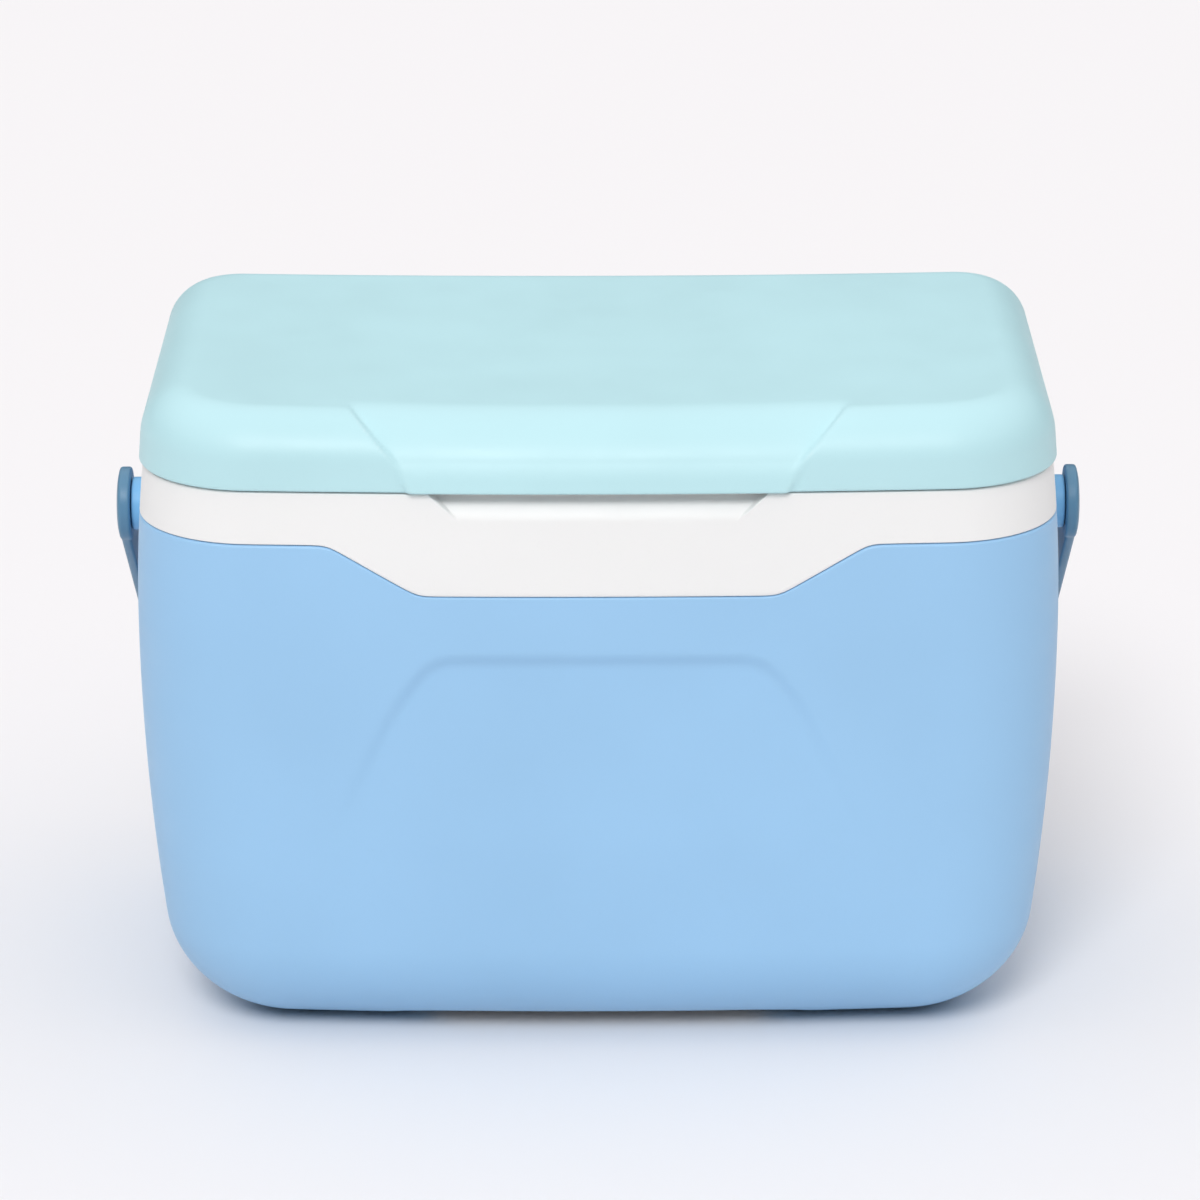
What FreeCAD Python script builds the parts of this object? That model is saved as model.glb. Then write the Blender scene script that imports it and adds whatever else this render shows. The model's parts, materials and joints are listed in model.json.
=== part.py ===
import FreeCAD, Part
import math
import os

# A hard-sided cooler chest with a hinged lid and a bail handle.
# Millimetres. +Z is up and the front faces -Y. The origin is on the floor, under the middle of the
# chest. Each make_ function makes one piece, and each piece is written as one STEP file.

V = FreeCAD.Vector
X_AXIS = V(1, 0, 0)
Y_AXIS = V(0, 1, 0)

# Plan outline shared by every wall: wider than deep, with a crowned front.
FRONT_LESS = 73.3             # half-width minus the depth of the front half at its middle
REAR_LESS = 83.3              # half-width minus the depth of the rear half at its middle
FRONT_CROWN = 8.0            # how far the front bows out between its corners
REAR_CROWN = 1.5
CORNER_R = {-1: 57.0, 1: 36.0}    # plan corners, front and rear
LEAST_CORNER_R = 16.0

# Body
WIDEST = 219.3                   # largest half-width of the body
WIDEST_Z = 204.5
BELLY_BELOW = 3.7e-4       # taper of the side, per mm squared, below the widest height
BELLY_ABOVE = 6.5e-4
BASE_FILLET = 52.0
BASE_ARC = (0, 15, 30, 45, 60, 75, 90)      # degrees at which the base fillet is sampled
BODY_LEVELS = (75, 110, 150, 180, 205, 235, 260)        # heights where the side changes its lean
SHELL_WALL = 2.8
FOOT_RECESS = 8.5             # depth of the front and rear recesses in the base
FOOT_RECESS_TOP_X = 72.0      # the recesses have sloping ends
FOOT_RECESS_X = 100.0
FOOT_BRIDGE_Y = 40.0       # half-depth of the flat bridge between the two recesses

# Arch-shaped recess in the front wall
ARCH_TOP_Z = 204.5
ARCH_TOP_X = 78.0
ARCH_SHOULDER_Z = 184.5
ARCH_SHOULDER_X = 96.0
ARCH_FOOT_Z = 108.5
ARCH_FOOT_X = 128.0
ARCH_DEPTH = 3.0

# Seam between the body shell and the white collar
SEAM_Z = 257.9
DIP_Z = 233.6
DIP_TOP_X = 126.0
DIP_BOTTOM_X = 83.4
DIP_BACK_Y = -60.0      # the dip is only in the front wall
SEAM_GAP = 0.4
TONGUE_UP = 5.0         # the shell's tongue stands this far up behind the collar
TONGUE_DOWN = 8.0
TONGUE_OUT = 2.4        # inset of the tongue's outer face
TONGUE_IN = 5.0

# Collar, raised lip and tub, which are one white moulding
COLLAR_Z = 283.3
COLLAR_WALL = 2.2
LIP_Z = 289.5
LIP_INSET = 13.0
LINER_WALL = 2.4
TUB_INSET = 22.0
TUB_DRAFT = 12.0        # how much the tub narrows on each side from lip to floor
TUB_FLOOR_Z = 30.0
TUB_FILLET = 14.0
TUB_ARC = (0, 30, 60, 90)               # degrees at which the tub's fillet is sampled

# Finger recess under the front lip of the lid
POCKET_TOP_X = 79.5
POCKET_BOTTOM_X = 67.3
POCKET_BOTTOM_Z = 273.0
POCKET_BACK_Y = -132.0
POCKET_SHARES = (0, 0.35, 0.65, 0.85, 1)      # shares of its height at which the scoop's curve is sampled

# Lid
LID_Z = 284.0
LID_TOP_Z = 319.6
LID_HALF = 217.0        # half-width at the lower edge
LID_DRAFT = 0.078             # inward lean per mm of height
LID_SHOULDER = 22.0
LID_SAG = 2.3                     # the top is this much lower along its middle
LID_WALL = 2.6
PANEL_SHOULDER = 30.0   # shoulder radius of the front's middle panel, between two slanting creases
PANEL_TOP_X = 117.0
PANEL_BOTTOM_X = 87.0
FINGER_LIP_OUT = 2.2       # how far the panel's lower edge leans out
FINGER_LIP_TALL = 14.0
FINGER_LIP_TOP_X = 96.0
FINGER_LIP_BOTTOM_X = 88.0
LID_ARC = (90, 75, 60, 45, 30, 15, 0)       # degrees at which the shoulder is sampled

# Lid liner: flange, groove over the raised lip, and a plug in the mouth
FLANGE_INSET = 3.3
FLANGE_Z = 285.7
GROOVE_Z = 289.9
GROOVE_INSET = 12.4
PLUG_INSET = 22.8
PLUG_Z = 278.5

# Insulation stands clear of the walls around it
FOAM_INSET = 6.2
FOAM_GAP = 0.3
BOSS_ROOM = 1.0         # round the screw bosses

# Bail handle, in its own plane: across X, and out along the arm
PIVOT_Z = 233.5
HUB_R = 18.0
HUB_IN_X = 228.6
HUB_OUT_X = 235.4
ARM_THICK = 4.6
ARM_WIDTH = 28.0
BAIL_REACH = 191.0      # pivot to the outside of the strap across the back
BAIL_CORNER = 40.0
GRIP_HALF = 68.0
GRIP_IN = 180.0
GRIP_OUT = 194.0
GRIP_WIDTH = 30.0
GRIP_ROUND = 5.0
REST_ANGLE = 37.0       # how far the arms hang below level, towards the rear

# Handle mounts and pivot pins
MOUNT_R = 13.0
MOUNT_OUT_X = 228.2
MOUNT_SUNK_X = 110.0    # the boss is cut from a bar that starts this far inside
SPIGOT_R = 9.0
SPIGOT_IN_X = 204.0
SPIGOT_ROOM = 2.0       # how far the insulation stands off the spigot's inner end
PIN_R = 5.0
PIN_HEAD_R = 9.0
PIN_HEAD_X = 233.5
PIN_END_X = 235.2
RUNNING = 0.05          # radial clearance of a pin in its bore

# Lid hinges on the rear
HINGE_X = 120.0
HINGE_HALF = 23.0
HINGE_Y = 139.9
HINGE_Z = 283.9
KNUCKLE_R = 3.8
KNUCKLES = 5
KNUCKLE_GAP = 0.4
HINGE_PIN_R = 1.5
COLLAR_LEAF = (264.0, 280.0, 137.0)     # lowest z, highest z, rear face y
LID_LEAF = (287.5, 300.5, 136.2)
SCREW_X = 14.0          # each side of the hinge's middle
COLLAR_SCREW_Z = 271.5
LID_SCREW_Z = 294.3
SCREW_R = 1.5
SCREW_HEAD_R = 3.0
SCREW_HEAD = 1.6
SCREW_LENGTH = 11.0
SCREW_SEAT = 0.5        # how far the shank stops short of the head's outer face
BOSS_R = 3.6
BOSS_DEEP = 9.0
WEB_DROP = 5.0          # how far a collar knuckle's web reaches down behind its leaf
WEB_RISE = 4.0          # how far a lid knuckle's web reaches up behind its leaf
WEB_SUNK = 2.0          # how far a web starts inside the wall

FAR = 400.0             # beyond the object in every direction
OVER = 1.0              # how far a cutter goes past the surface that it cuts


def half_width(z):
    """Half-width of the body's outside at a height, above the base fillet."""
    taper = BELLY_BELOW if z < WIDEST_Z else BELLY_ABOVE
    return WIDEST - taper * (z - WIDEST_Z) ** 2


RIM_HALF = half_width(COLLAR_Z)


def crowned_side(a, middle, crown, r, way):
    """Corner centre y, tangent point and middle of the face on one side, way -1 or +1."""
    big = (a * a + crown * crown) / (2 * crown)
    centre = middle - big
    corner_y = centre + math.sqrt((big - r) ** 2 - (a - r) ** 2)
    scale = big / (big - r)
    tangent = ((a - r) * scale, centre + (corner_y - centre) * scale)
    return way * corner_y, (tangent[0], way * tangent[1])


def corner_arc(a, r, corner_y, tangent, side, z):
    """The corner's arc, from the tangent point on the face to the straight end wall."""
    centre = V(side * (a - r), corner_y, z)
    start = V(side * tangent[0], tangent[1], z)
    end = V(side * a, corner_y, z)
    halfway = (start - centre) + (end - centre)
    middle = centre + halfway * (r / halfway.Length)
    return Part.Arc(start, middle, end).toShape(), start, end


def outline(half, inset, z):
    """Closed plan outline: two straight ends, crowned front and rear, and four round corners."""
    a = half - inset
    edges = []
    ends = {}
    for way, less, crown in ((-1, FRONT_LESS, FRONT_CROWN), (1, REAR_LESS, REAR_CROWN)):
        r = max(CORNER_R[way] - inset, LEAST_CORNER_R)
        corner_y, tangent = crowned_side(a, half - less - inset, crown, r, way)
        left, left_start, left_end = corner_arc(a, r, corner_y, tangent, -1, z)
        right, right_start, right_end = corner_arc(a, r, corner_y, tangent, 1, z)
        middle = V(0, way * (half - less - inset), z)
        edges += [left, Part.Arc(left_start, middle, right_start).toShape(), right]
        ends[way] = (left_end, right_end)
    for index in (0, 1):
        edges.append(Part.LineSegment(ends[-1][index], ends[1][index]).toShape())
    return Part.Wire(Part.__sortEdges__(edges))


def prism(half, inset, low, high):
    """A straight-walled block with the plan outline."""
    return Part.Face(outline(half, inset, low)).extrude(V(0, 0, high - low))


def box(x0, x1, y0, y1, z0, z1):
    return Part.makeBox(x1 - x0, y1 - y0, z1 - z0, V(x0, y0, z0))


def slab(z0, z1):
    return box(-FAR, FAR, -FAR, FAR, z0, z1)


def flat_prism(points, y0, y1):
    """A polygon in X and Z, extruded from y0 to y1."""
    corners = [V(x, y0, z) for x, z in points]
    face = Part.Face(Part.makePolygon(corners + corners[:1]))
    return face.extrude(V(0, y1 - y0, 0))


def side_prism(points, half):
    """A polygon in Y and Z, extruded across X."""
    corners = [V(-half, y, z) for y, z in points]
    face = Part.Face(Part.makePolygon(corners + corners[:1]))
    return face.extrude(V(2 * half, 0, 0))


def rod(x0, x1, y, z, r):
    """A round bar along X."""
    return Part.makeCylinder(r, abs(x1 - x0), V(min(x0, x1), y, z), X_AXIS)


def fused(shapes):
    whole = shapes[0].multiFuse(shapes[1:])
    return whole.removeSplitter()


def body_form(inset, top):
    """The body's outside, or a surface a distance inside it, up to a height."""
    fillet = BASE_FILLET - inset
    levels = []
    for degrees in BASE_ARC:
        angle = math.radians(degrees)
        z = inset + fillet * (1 - math.cos(angle))
        levels.append((z, inset + fillet * (1 - math.sin(angle))))
    levels += [(z, inset) for z in BODY_LEVELS if z < top - OVER]
    levels.append((top, inset))
    wires = [outline(half_width(z), gap, z) for z, gap in levels]
    return Part.makeLoft(wires, True, True)


def arched(form, spread, inset):
    """Cuts the arch recess into a body form: deepest at its top, fading out at its feet."""
    points = [
        (-ARCH_FOOT_X - spread, ARCH_FOOT_Z),
        (-ARCH_SHOULDER_X - spread, ARCH_SHOULDER_Z),
        (-ARCH_TOP_X - spread, ARCH_TOP_Z + spread),
        (ARCH_TOP_X + spread, ARCH_TOP_Z + spread),
        (ARCH_SHOULDER_X + spread, ARCH_SHOULDER_Z),
        (ARCH_FOOT_X + spread, ARCH_FOOT_Z),
    ]
    face_y = -(half_width(ARCH_FOOT_Z) - FRONT_LESS - inset)
    tilted = form.copy()
    lean = math.degrees(math.atan(ARCH_DEPTH / (ARCH_TOP_Z - ARCH_FOOT_Z)))
    tilted.rotate(V(0, face_y, ARCH_FOOT_Z), X_AXIS, -lean)
    cutter = flat_prism(points, -FAR, DIP_BACK_Y).cut(tilted)
    return form.cut(cutter)


def below_seam(rise):
    """Everything under the line where the collar meets the shell, moved up by a distance."""
    points = [
        (-FAR, -FAR),
        (-FAR, SEAM_Z + rise),
        (-DIP_TOP_X, SEAM_Z + rise),
        (-DIP_BOTTOM_X, DIP_Z + rise),
        (DIP_BOTTOM_X, DIP_Z + rise),
        (DIP_TOP_X, SEAM_Z + rise),
        (FAR, SEAM_Z + rise),
        (FAR, -FAR),
    ]
    front = flat_prism(points, -FAR, DIP_BACK_Y)
    rear = box(-FAR, FAR, DIP_BACK_Y, FAR, -FAR, SEAM_Z + rise)
    return front.fuse(rear)


def foot_recesses(wall):
    """The front and rear recesses that leave an H-shaped standing face, or the walls over them."""
    top = FOOT_RECESS_TOP_X + wall
    bottom = FOOT_RECESS_X + wall
    points = [(-bottom, -OVER), (-bottom, 0), (-top, FOOT_RECESS + wall)]
    points += [(-x, z) for x, z in reversed(points)]
    inner = FOOT_BRIDGE_Y - wall
    return [flat_prism(points, -FAR, -inner), flat_prism(points, inner, FAR)]


def make_outer_shell():
    outer = arched(body_form(0, SEAM_Z + OVER), 0, 0).cut(foot_recesses(0))
    inner = arched(body_form(SHELL_WALL, SEAM_Z + 2 * OVER), SHELL_WALL, SHELL_WALL)
    shell = outer.cut(inner.cut(foot_recesses(SHELL_WALL))).common(below_seam(0))
    above = SEAM_Z + TONGUE_UP + OVER
    tongue = body_form(TONGUE_OUT, above).cut(body_form(TONGUE_IN, above + OVER))
    tongue = tongue.common(below_seam(TONGUE_UP)).cut(below_seam(-TONGUE_DOWN))
    holes = [rod(-FAR, FAR, 0, PIVOT_Z, SPIGOT_R + RUNNING)]
    return fused([shell, tongue]).cut(holes)


def finger_pocket(wall):
    """The scoop in the collar, or the block that forms its wall."""
    across = flat_prism([
        (-POCKET_TOP_X - wall, LIP_Z),
        (-POCKET_TOP_X - wall, LID_Z),
        (-POCKET_BOTTOM_X - wall, POCKET_BOTTOM_Z - wall),
        (POCKET_BOTTOM_X + wall, POCKET_BOTTOM_Z - wall),
        (POCKET_TOP_X + wall, LID_Z),
        (POCKET_TOP_X + wall, LIP_Z),
    ], -FAR, DIP_BACK_Y)
    face_y = -(half_width(POCKET_BOTTOM_Z) - FRONT_LESS)
    curve = [(face_y + (POCKET_BACK_Y - face_y) * share ** 2 + wall,
              POCKET_BOTTOM_Z + (COLLAR_Z - POCKET_BOTTOM_Z) * share - wall) for share in POCKET_SHARES]
    outer_edge = [(-FAR, LIP_Z), (-FAR, POCKET_BOTTOM_Z - wall)]
    scoop = side_prism(outer_edge + curve + [(POCKET_BACK_Y + wall, LIP_Z)], FAR)
    return across.common(scoop)


def tub_form(wall, top):
    """The inside of the tub, or its outside when a wall thickness is given."""
    floor = TUB_FLOOR_Z - wall
    fillet = TUB_FILLET + wall
    levels = []
    for degrees in TUB_ARC:
        angle = math.radians(degrees)
        z = floor + fillet * (1 - math.cos(angle))
        levels.append((z, fillet * (1 - math.sin(angle))))
    levels.append((top, 0.0))
    wires = []
    for z, curl in levels:
        narrowing = TUB_DRAFT * (LIP_Z - z) / (LIP_Z - TUB_FLOOR_Z)
        wires.append(outline(RIM_HALF, TUB_INSET - wall + narrowing + curl, z))
    return Part.makeLoft(wires, True, True)


def screw_places(z):
    """Where the hinge screws go, on both hinges."""
    return [V(side * HINGE_X + across, 0, z) for side in (-1, 1) for across in (-SCREW_X, SCREW_X)]


def screw_bars(z, r, start):
    """A round bar for each screw, from a depth out through the rear."""
    return [Part.makeCylinder(r, FAR, V(p.x, start, p.z), Y_AXIS) for p in screw_places(z)]


def screw_holes(z):
    """Holes right through a hinge leaf."""
    return screw_bars(z, SCREW_R + RUNNING, 0)


def pilot_holes(z, face):
    """Blind holes, from behind the rear wall to the screw tips."""
    return screw_bars(z, SCREW_R + RUNNING, face(z) - BOSS_DEEP + OVER)


def bosses(form, z, face):
    """Solid bosses behind a rear wall, kept inside the wall's outer form."""
    return [bar.common(form) for bar in screw_bars(z, BOSS_R, face(z) - BOSS_DEEP)]


def rear_face(z):
    return half_width(z) - REAR_LESS


def make_inner_liner():
    outer = body_form(0, COLLAR_Z).common(slab(DIP_Z - OVER, FAR))
    skirt = outer.cut(below_seam(SEAM_GAP))
    skirt = skirt.cut(body_form(COLLAR_WALL, COLLAR_Z).common(slab(-FAR, COLLAR_Z - LINER_WALL)))
    lip = prism(RIM_HALF, LIP_INSET, COLLAR_Z - LINER_WALL, LIP_Z)
    hollow = prism(RIM_HALF, LIP_INSET + LINER_WALL, DIP_Z, LIP_Z - LINER_WALL)
    rim = fused([skirt, lip]).cut(hollow)
    pocket_wall = finger_pocket(COLLAR_WALL).common(body_form(0, COLLAR_Z))
    rear_bosses = bosses(outer, COLLAR_SCREW_Z, rear_face)
    whole = fused([rim, tub_form(LINER_WALL, LIP_Z), pocket_wall] + rear_bosses)
    hollows = [tub_form(0, LIP_Z + OVER), finger_pocket(0)]
    return whole.cut(hollows + pilot_holes(COLLAR_SCREW_Z, rear_face))


def boss_clearances(z, face):
    """Room in the insulation around each pair of bosses."""
    deep = face(z) - BOSS_DEEP - BOSS_ROOM
    reach = SCREW_X + BOSS_R + BOSS_ROOM
    low, high = z - BOSS_R - BOSS_ROOM, z + BOSS_R + BOSS_ROOM
    return [box(side * HINGE_X - reach, side * HINGE_X + reach, deep, FAR, low, high) for side in (-1, 1)]


def make_body_foam():
    block = body_form(FOAM_INSET, COLLAR_Z - LINER_WALL - FOAM_GAP)
    block = block.cut(tub_form(LINER_WALL + FOAM_GAP, LIP_Z + OVER))
    block = block.cut(finger_pocket(COLLAR_WALL + FOAM_GAP))
    spigot_end = SPIGOT_IN_X - SPIGOT_ROOM
    spigot_room = [rod(side * spigot_end, side * FAR, 0, PIVOT_Z, MOUNT_R) for side in (-1, 1)]
    block = block.cut(foot_recesses(SHELL_WALL + FOAM_GAP))
    return block.cut(spigot_room + boss_clearances(COLLAR_SCREW_Z, rear_face))


def lid_half(z):
    return LID_HALF - LID_DRAFT * (z - LID_Z)


def lid_rear_face(z):
    return lid_half(z) - REAR_LESS


def shouldered(inset, bottom, radius):
    """The lid's block with a round shoulder of some radius, before its top sags."""
    top = LID_TOP_Z - inset
    shoulder = radius - inset
    levels = [(bottom, inset)]
    for degrees in LID_ARC:
        angle = math.radians(degrees)
        levels.append((top - shoulder * (1 - math.cos(angle)), inset + shoulder * (1 - math.sin(angle))))
    return Part.makeLoft([outline(lid_half(z), gap, z) for z, gap in levels], True, True)


def lid_form(inset, bottom):
    """The lid's outside, or a surface a distance inside it."""
    top = LID_TOP_Z - inset
    reach = lid_half(top) - LID_SHOULDER
    bow = (reach * reach + LID_SAG * LID_SAG) / (2 * LID_SAG)
    dish = Part.makeCylinder(bow, 2 * FAR, V(0, -FAR, top - LID_SAG + bow), Y_AXIS)
    beyond_panel = front_panel().cut(shouldered(inset, bottom, PANEL_SHOULDER))
    return shouldered(inset, bottom, LID_SHOULDER).cut([dish, beyond_panel])


def front_panel():
    """A block over the front's middle panel, between the two creases."""
    return flat_prism([
        (-PANEL_TOP_X, LID_TOP_Z + OVER),
        (-PANEL_BOTTOM_X, LID_TOP_Z - PANEL_SHOULDER),
        (PANEL_BOTTOM_X, LID_TOP_Z - PANEL_SHOULDER),
        (PANEL_TOP_X, LID_TOP_Z + OVER),
    ], -FAR, DIP_BACK_Y)


def finger_lip():
    """The lower part of the lid's front panel, which leans out to give the fingers a hold."""
    face_y = -(lid_half(LID_Z) - FRONT_LESS)
    top = LID_Z + FINGER_LIP_TALL
    leaning = lid_form(0, LID_Z - 2 * OVER)
    lean = math.degrees(math.atan(FINGER_LIP_OUT / FINGER_LIP_TALL))
    leaning.rotate(V(0, face_y, top), X_AXIS, -lean)
    return leaning.common(flat_prism([
        (-FINGER_LIP_BOTTOM_X, LID_Z),
        (-FINGER_LIP_TOP_X, top),
        (FINGER_LIP_TOP_X, top),
        (FINGER_LIP_BOTTOM_X, LID_Z),
    ], -FAR, DIP_BACK_Y))


def make_lid_shell():
    outer = fused([lid_form(0, LID_Z), finger_lip()])
    shell = outer.cut(lid_form(LID_WALL, LID_Z - OVER))
    rear_bosses = bosses(outer, LID_SCREW_Z, lid_rear_face)
    return fused([shell] + rear_bosses).cut(pilot_holes(LID_SCREW_Z, lid_rear_face))


def make_lid_liner():
    top = GROOVE_Z + LINER_WALL
    plate = prism(LID_HALF, FLANGE_INSET, FLANGE_Z, top)
    groove = prism(RIM_HALF, GROOVE_INSET, FLANGE_Z - OVER, GROOVE_Z)
    above_flange = prism(LID_HALF, FLANGE_INSET - OVER, FLANGE_Z + LINER_WALL, top + OVER)
    above_flange = above_flange.cut(prism(RIM_HALF, GROOVE_INSET - LINER_WALL, FLANGE_Z, top + 2 * OVER))
    plug = prism(RIM_HALF, PLUG_INSET, PLUG_Z, top)
    pan = prism(RIM_HALF, PLUG_INSET + LINER_WALL, PLUG_Z + LINER_WALL, top + OVER)
    return fused([plate.cut([groove, above_flange]), plug]).cut(pan)


def make_lid_foam():
    floor = GROOVE_Z + LINER_WALL + FOAM_GAP
    upper = lid_form(LID_WALL + FOAM_GAP, LID_Z).common(slab(floor, FAR))
    inset = PLUG_INSET + LINER_WALL + FOAM_GAP
    lower = prism(RIM_HALF, inset, PLUG_Z + LINER_WALL + FOAM_GAP, floor + OVER)
    return fused([upper, lower]).cut(boss_clearances(LID_SCREW_Z, lid_rear_face))


def strap():
    """The bent strap of the handle, flat in its own plane before it is hung at rest."""
    def edge(out, reach, corner):
        bend = corner * math.sqrt(0.5)
        left = [V(-out, 0, 0), V(-out, reach - corner, 0), V(corner - out, reach, 0)]
        turn_left = V(corner - out - bend, reach - corner + bend, 0)
        right = [V(-p.x, p.y, 0) for p in reversed(left)]
        turn_right = V(-turn_left.x, turn_left.y, 0)
        edges = [
            Part.LineSegment(left[0], left[1]),
            Part.Arc(left[1], turn_left, left[2]),
            Part.LineSegment(left[2], right[0]),
            Part.Arc(right[0], turn_right, right[1]),
            Part.LineSegment(right[1], right[2]),
            Part.LineSegment(right[2], left[0]),
        ]
        wire = Part.Wire([piece.toShape() for piece in edges])
        return Part.Face(wire).extrude(V(0, 0, ARM_WIDTH)).translated(V(0, 0, -ARM_WIDTH / 2))
    outer = edge(HUB_OUT_X, BAIL_REACH, BAIL_CORNER)
    return outer.cut(edge(HUB_OUT_X - ARM_THICK, BAIL_REACH - ARM_THICK, BAIL_CORNER - ARM_THICK))


def make_bail_handle():
    grip = box(-GRIP_HALF, GRIP_HALF, GRIP_IN, GRIP_OUT, -GRIP_WIDTH / 2, GRIP_WIDTH / 2)
    grip = grip.makeFillet(GRIP_ROUND, grip.Edges)
    hubs = [rod(side * HUB_IN_X, side * HUB_OUT_X, 0, 0, HUB_R) for side in (-1, 1)]
    handle = fused([strap(), grip] + hubs)
    cuts = [rod(-FAR, FAR, 0, 0, PIN_R + RUNNING)]
    recess = PIN_HEAD_X - FOAM_GAP - RUNNING
    cuts += [rod(side * recess, side * FAR, 0, 0, PIN_HEAD_R + FOAM_GAP) for side in (-1, 1)]
    handle = handle.cut(cuts)
    handle.rotate(V(0, 0, 0), X_AXIS, -REST_ANGLE)
    return handle.translated(V(0, 0, PIVOT_Z))


def make_handle_mount(side):
    """A round boss that stands off the body's end wall, with a spigot through the wall."""
    boss = rod(side * MOUNT_SUNK_X, side * MOUNT_OUT_X, 0, PIVOT_Z, MOUNT_R)
    boss = boss.cut(body_form(0, SEAM_Z))
    spigot = rod(side * SPIGOT_IN_X, side * (MOUNT_OUT_X - OVER), 0, PIVOT_Z, SPIGOT_R)
    return fused([boss, spigot]).cut(rod(-FAR, FAR, 0, PIVOT_Z, PIN_R + RUNNING))


def make_handle_pin(side):
    """A headed pivot pin, flush in the hub's outer face."""
    shank = rod(side * SPIGOT_IN_X, side * PIN_HEAD_X, 0, PIVOT_Z, PIN_R)
    head = rod(side * PIN_HEAD_X, side * PIN_END_X, 0, PIVOT_Z, PIN_HEAD_R)
    return fused([shank, head])


def knuckle_spans(side, first):
    """Start and end of every other knuckle along one hinge."""
    pitch = 2 * HINGE_HALF / KNUCKLES
    start = side * HINGE_X - HINGE_HALF
    return [(start + n * pitch + KNUCKLE_GAP / 2, start + (n + 1) * pitch - KNUCKLE_GAP / 2)
            for n in range(first, KNUCKLES, 2)]


def pin_bore():
    return rod(-FAR, FAR, HINGE_Y, HINGE_Z, HINGE_PIN_R + RUNNING)


def make_collar_leaf(side):
    low, high, face = COLLAR_LEAF
    middle = side * HINGE_X
    pieces = [box(middle - HINGE_HALF, middle + HINGE_HALF, 0, face, low, high)]
    for x0, x1 in knuckle_spans(side, 0):
        pieces.append(box(x0, x1, 0, HINGE_Y, high - WEB_DROP, COLLAR_Z - FOAM_GAP))
        pieces.append(rod(x0, x1, HINGE_Y, HINGE_Z, KNUCKLE_R))
    body = body_form(0, COLLAR_Z)
    leaf = fused([piece.cut(body) for piece in pieces])
    return leaf.cut([pin_bore()] + screw_holes(COLLAR_SCREW_Z))


def make_lid_leaf(side):
    low, high, face = LID_LEAF
    middle = side * HINGE_X
    lid = lid_form(0, LID_Z)
    web_start = lid_rear_face(LID_Z) - WEB_SUNK
    pieces = [box(middle - HINGE_HALF, middle + HINGE_HALF, 0, face, low, high).cut(lid)]
    for x0, x1 in knuckle_spans(side, 1):
        web = box(x0, x1, web_start, HINGE_Y, LID_Z + FOAM_GAP, low + WEB_RISE)
        pieces.append(web.cut(lid))
        pieces.append(rod(x0, x1, HINGE_Y, HINGE_Z, KNUCKLE_R))
    return fused(pieces).cut([pin_bore()] + screw_holes(LID_SCREW_Z))


def make_hinge_pin(side):
    start = side * HINGE_X - HINGE_HALF
    return rod(start, start + 2 * HINGE_HALF, HINGE_Y, HINGE_Z, HINGE_PIN_R)


def make_screws(z, face):
    """The pan-head screws of both hinges, on one row."""
    screws = []
    for place in screw_places(z):
        tip = face + SCREW_HEAD - SCREW_LENGTH
        shank = Part.makeCylinder(SCREW_R, SCREW_LENGTH - SCREW_SEAT, V(place.x, tip, z), Y_AXIS)
        head = Part.makeCylinder(SCREW_HEAD_R, SCREW_HEAD, V(place.x, face, z), Y_AXIS)
        screws.append(fused([shank, head]))
    return Part.makeCompound(screws)


def parts():
    made = {
        "outer_shell": make_outer_shell(),
        "body_foam": make_body_foam(),
        "inner_liner": make_inner_liner(),
        "lid_shell": make_lid_shell(),
        "lid_foam": make_lid_foam(),
        "lid_liner": make_lid_liner(),
        "bail_handle": make_bail_handle(),
        "collar_hinge_screws": make_screws(COLLAR_SCREW_Z, COLLAR_LEAF[2]),
        "lid_hinge_screws": make_screws(LID_SCREW_Z, LID_LEAF[2]),
    }
    for name, side in (("left", -1), ("right", 1)):
        made["handle_mount_" + name] = make_handle_mount(side)
        made["handle_pin_" + name] = make_handle_pin(side)
        made["collar_hinge_leaf_" + name] = make_collar_leaf(side)
        made["lid_hinge_leaf_" + name] = make_lid_leaf(side)
        made["hinge_pin_" + name] = make_hinge_pin(side)
    return made


os.makedirs("parts", exist_ok=True)
for node, shape in parts().items():
    print(node, "solids", len(shape.Solids), "valid", shape.isValid(), "volume", round(shape.Volume))
    shape.exportStep("parts/" + node + ".step")
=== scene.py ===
import json
import math

import bmesh
import bpy
import numpy as np
from mathutils import Matrix, Vector
from mathutils.geometry import delaunay_2d_cdt


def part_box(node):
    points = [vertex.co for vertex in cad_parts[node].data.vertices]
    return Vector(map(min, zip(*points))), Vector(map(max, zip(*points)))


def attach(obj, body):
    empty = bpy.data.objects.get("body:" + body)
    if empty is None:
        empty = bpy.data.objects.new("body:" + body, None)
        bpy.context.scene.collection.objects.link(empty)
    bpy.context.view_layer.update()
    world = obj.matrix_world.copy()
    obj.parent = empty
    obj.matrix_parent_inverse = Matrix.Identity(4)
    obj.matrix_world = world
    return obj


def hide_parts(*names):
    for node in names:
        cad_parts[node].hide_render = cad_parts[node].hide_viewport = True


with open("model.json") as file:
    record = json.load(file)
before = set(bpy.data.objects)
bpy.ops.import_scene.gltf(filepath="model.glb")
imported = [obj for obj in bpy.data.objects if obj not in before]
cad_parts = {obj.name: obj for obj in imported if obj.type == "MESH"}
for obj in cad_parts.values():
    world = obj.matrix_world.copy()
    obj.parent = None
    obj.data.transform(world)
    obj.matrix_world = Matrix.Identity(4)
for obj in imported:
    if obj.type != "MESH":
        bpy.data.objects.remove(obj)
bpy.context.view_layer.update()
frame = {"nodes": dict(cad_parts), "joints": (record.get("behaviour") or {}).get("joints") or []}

# The cooler chest's looks, in metres, in the frame of the CAD model: +Z up, the front faces -Y.
# A moulding is a stack of rings round the plan outline. Its path gives each ring's inset and height.
MM = 0.001

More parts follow.
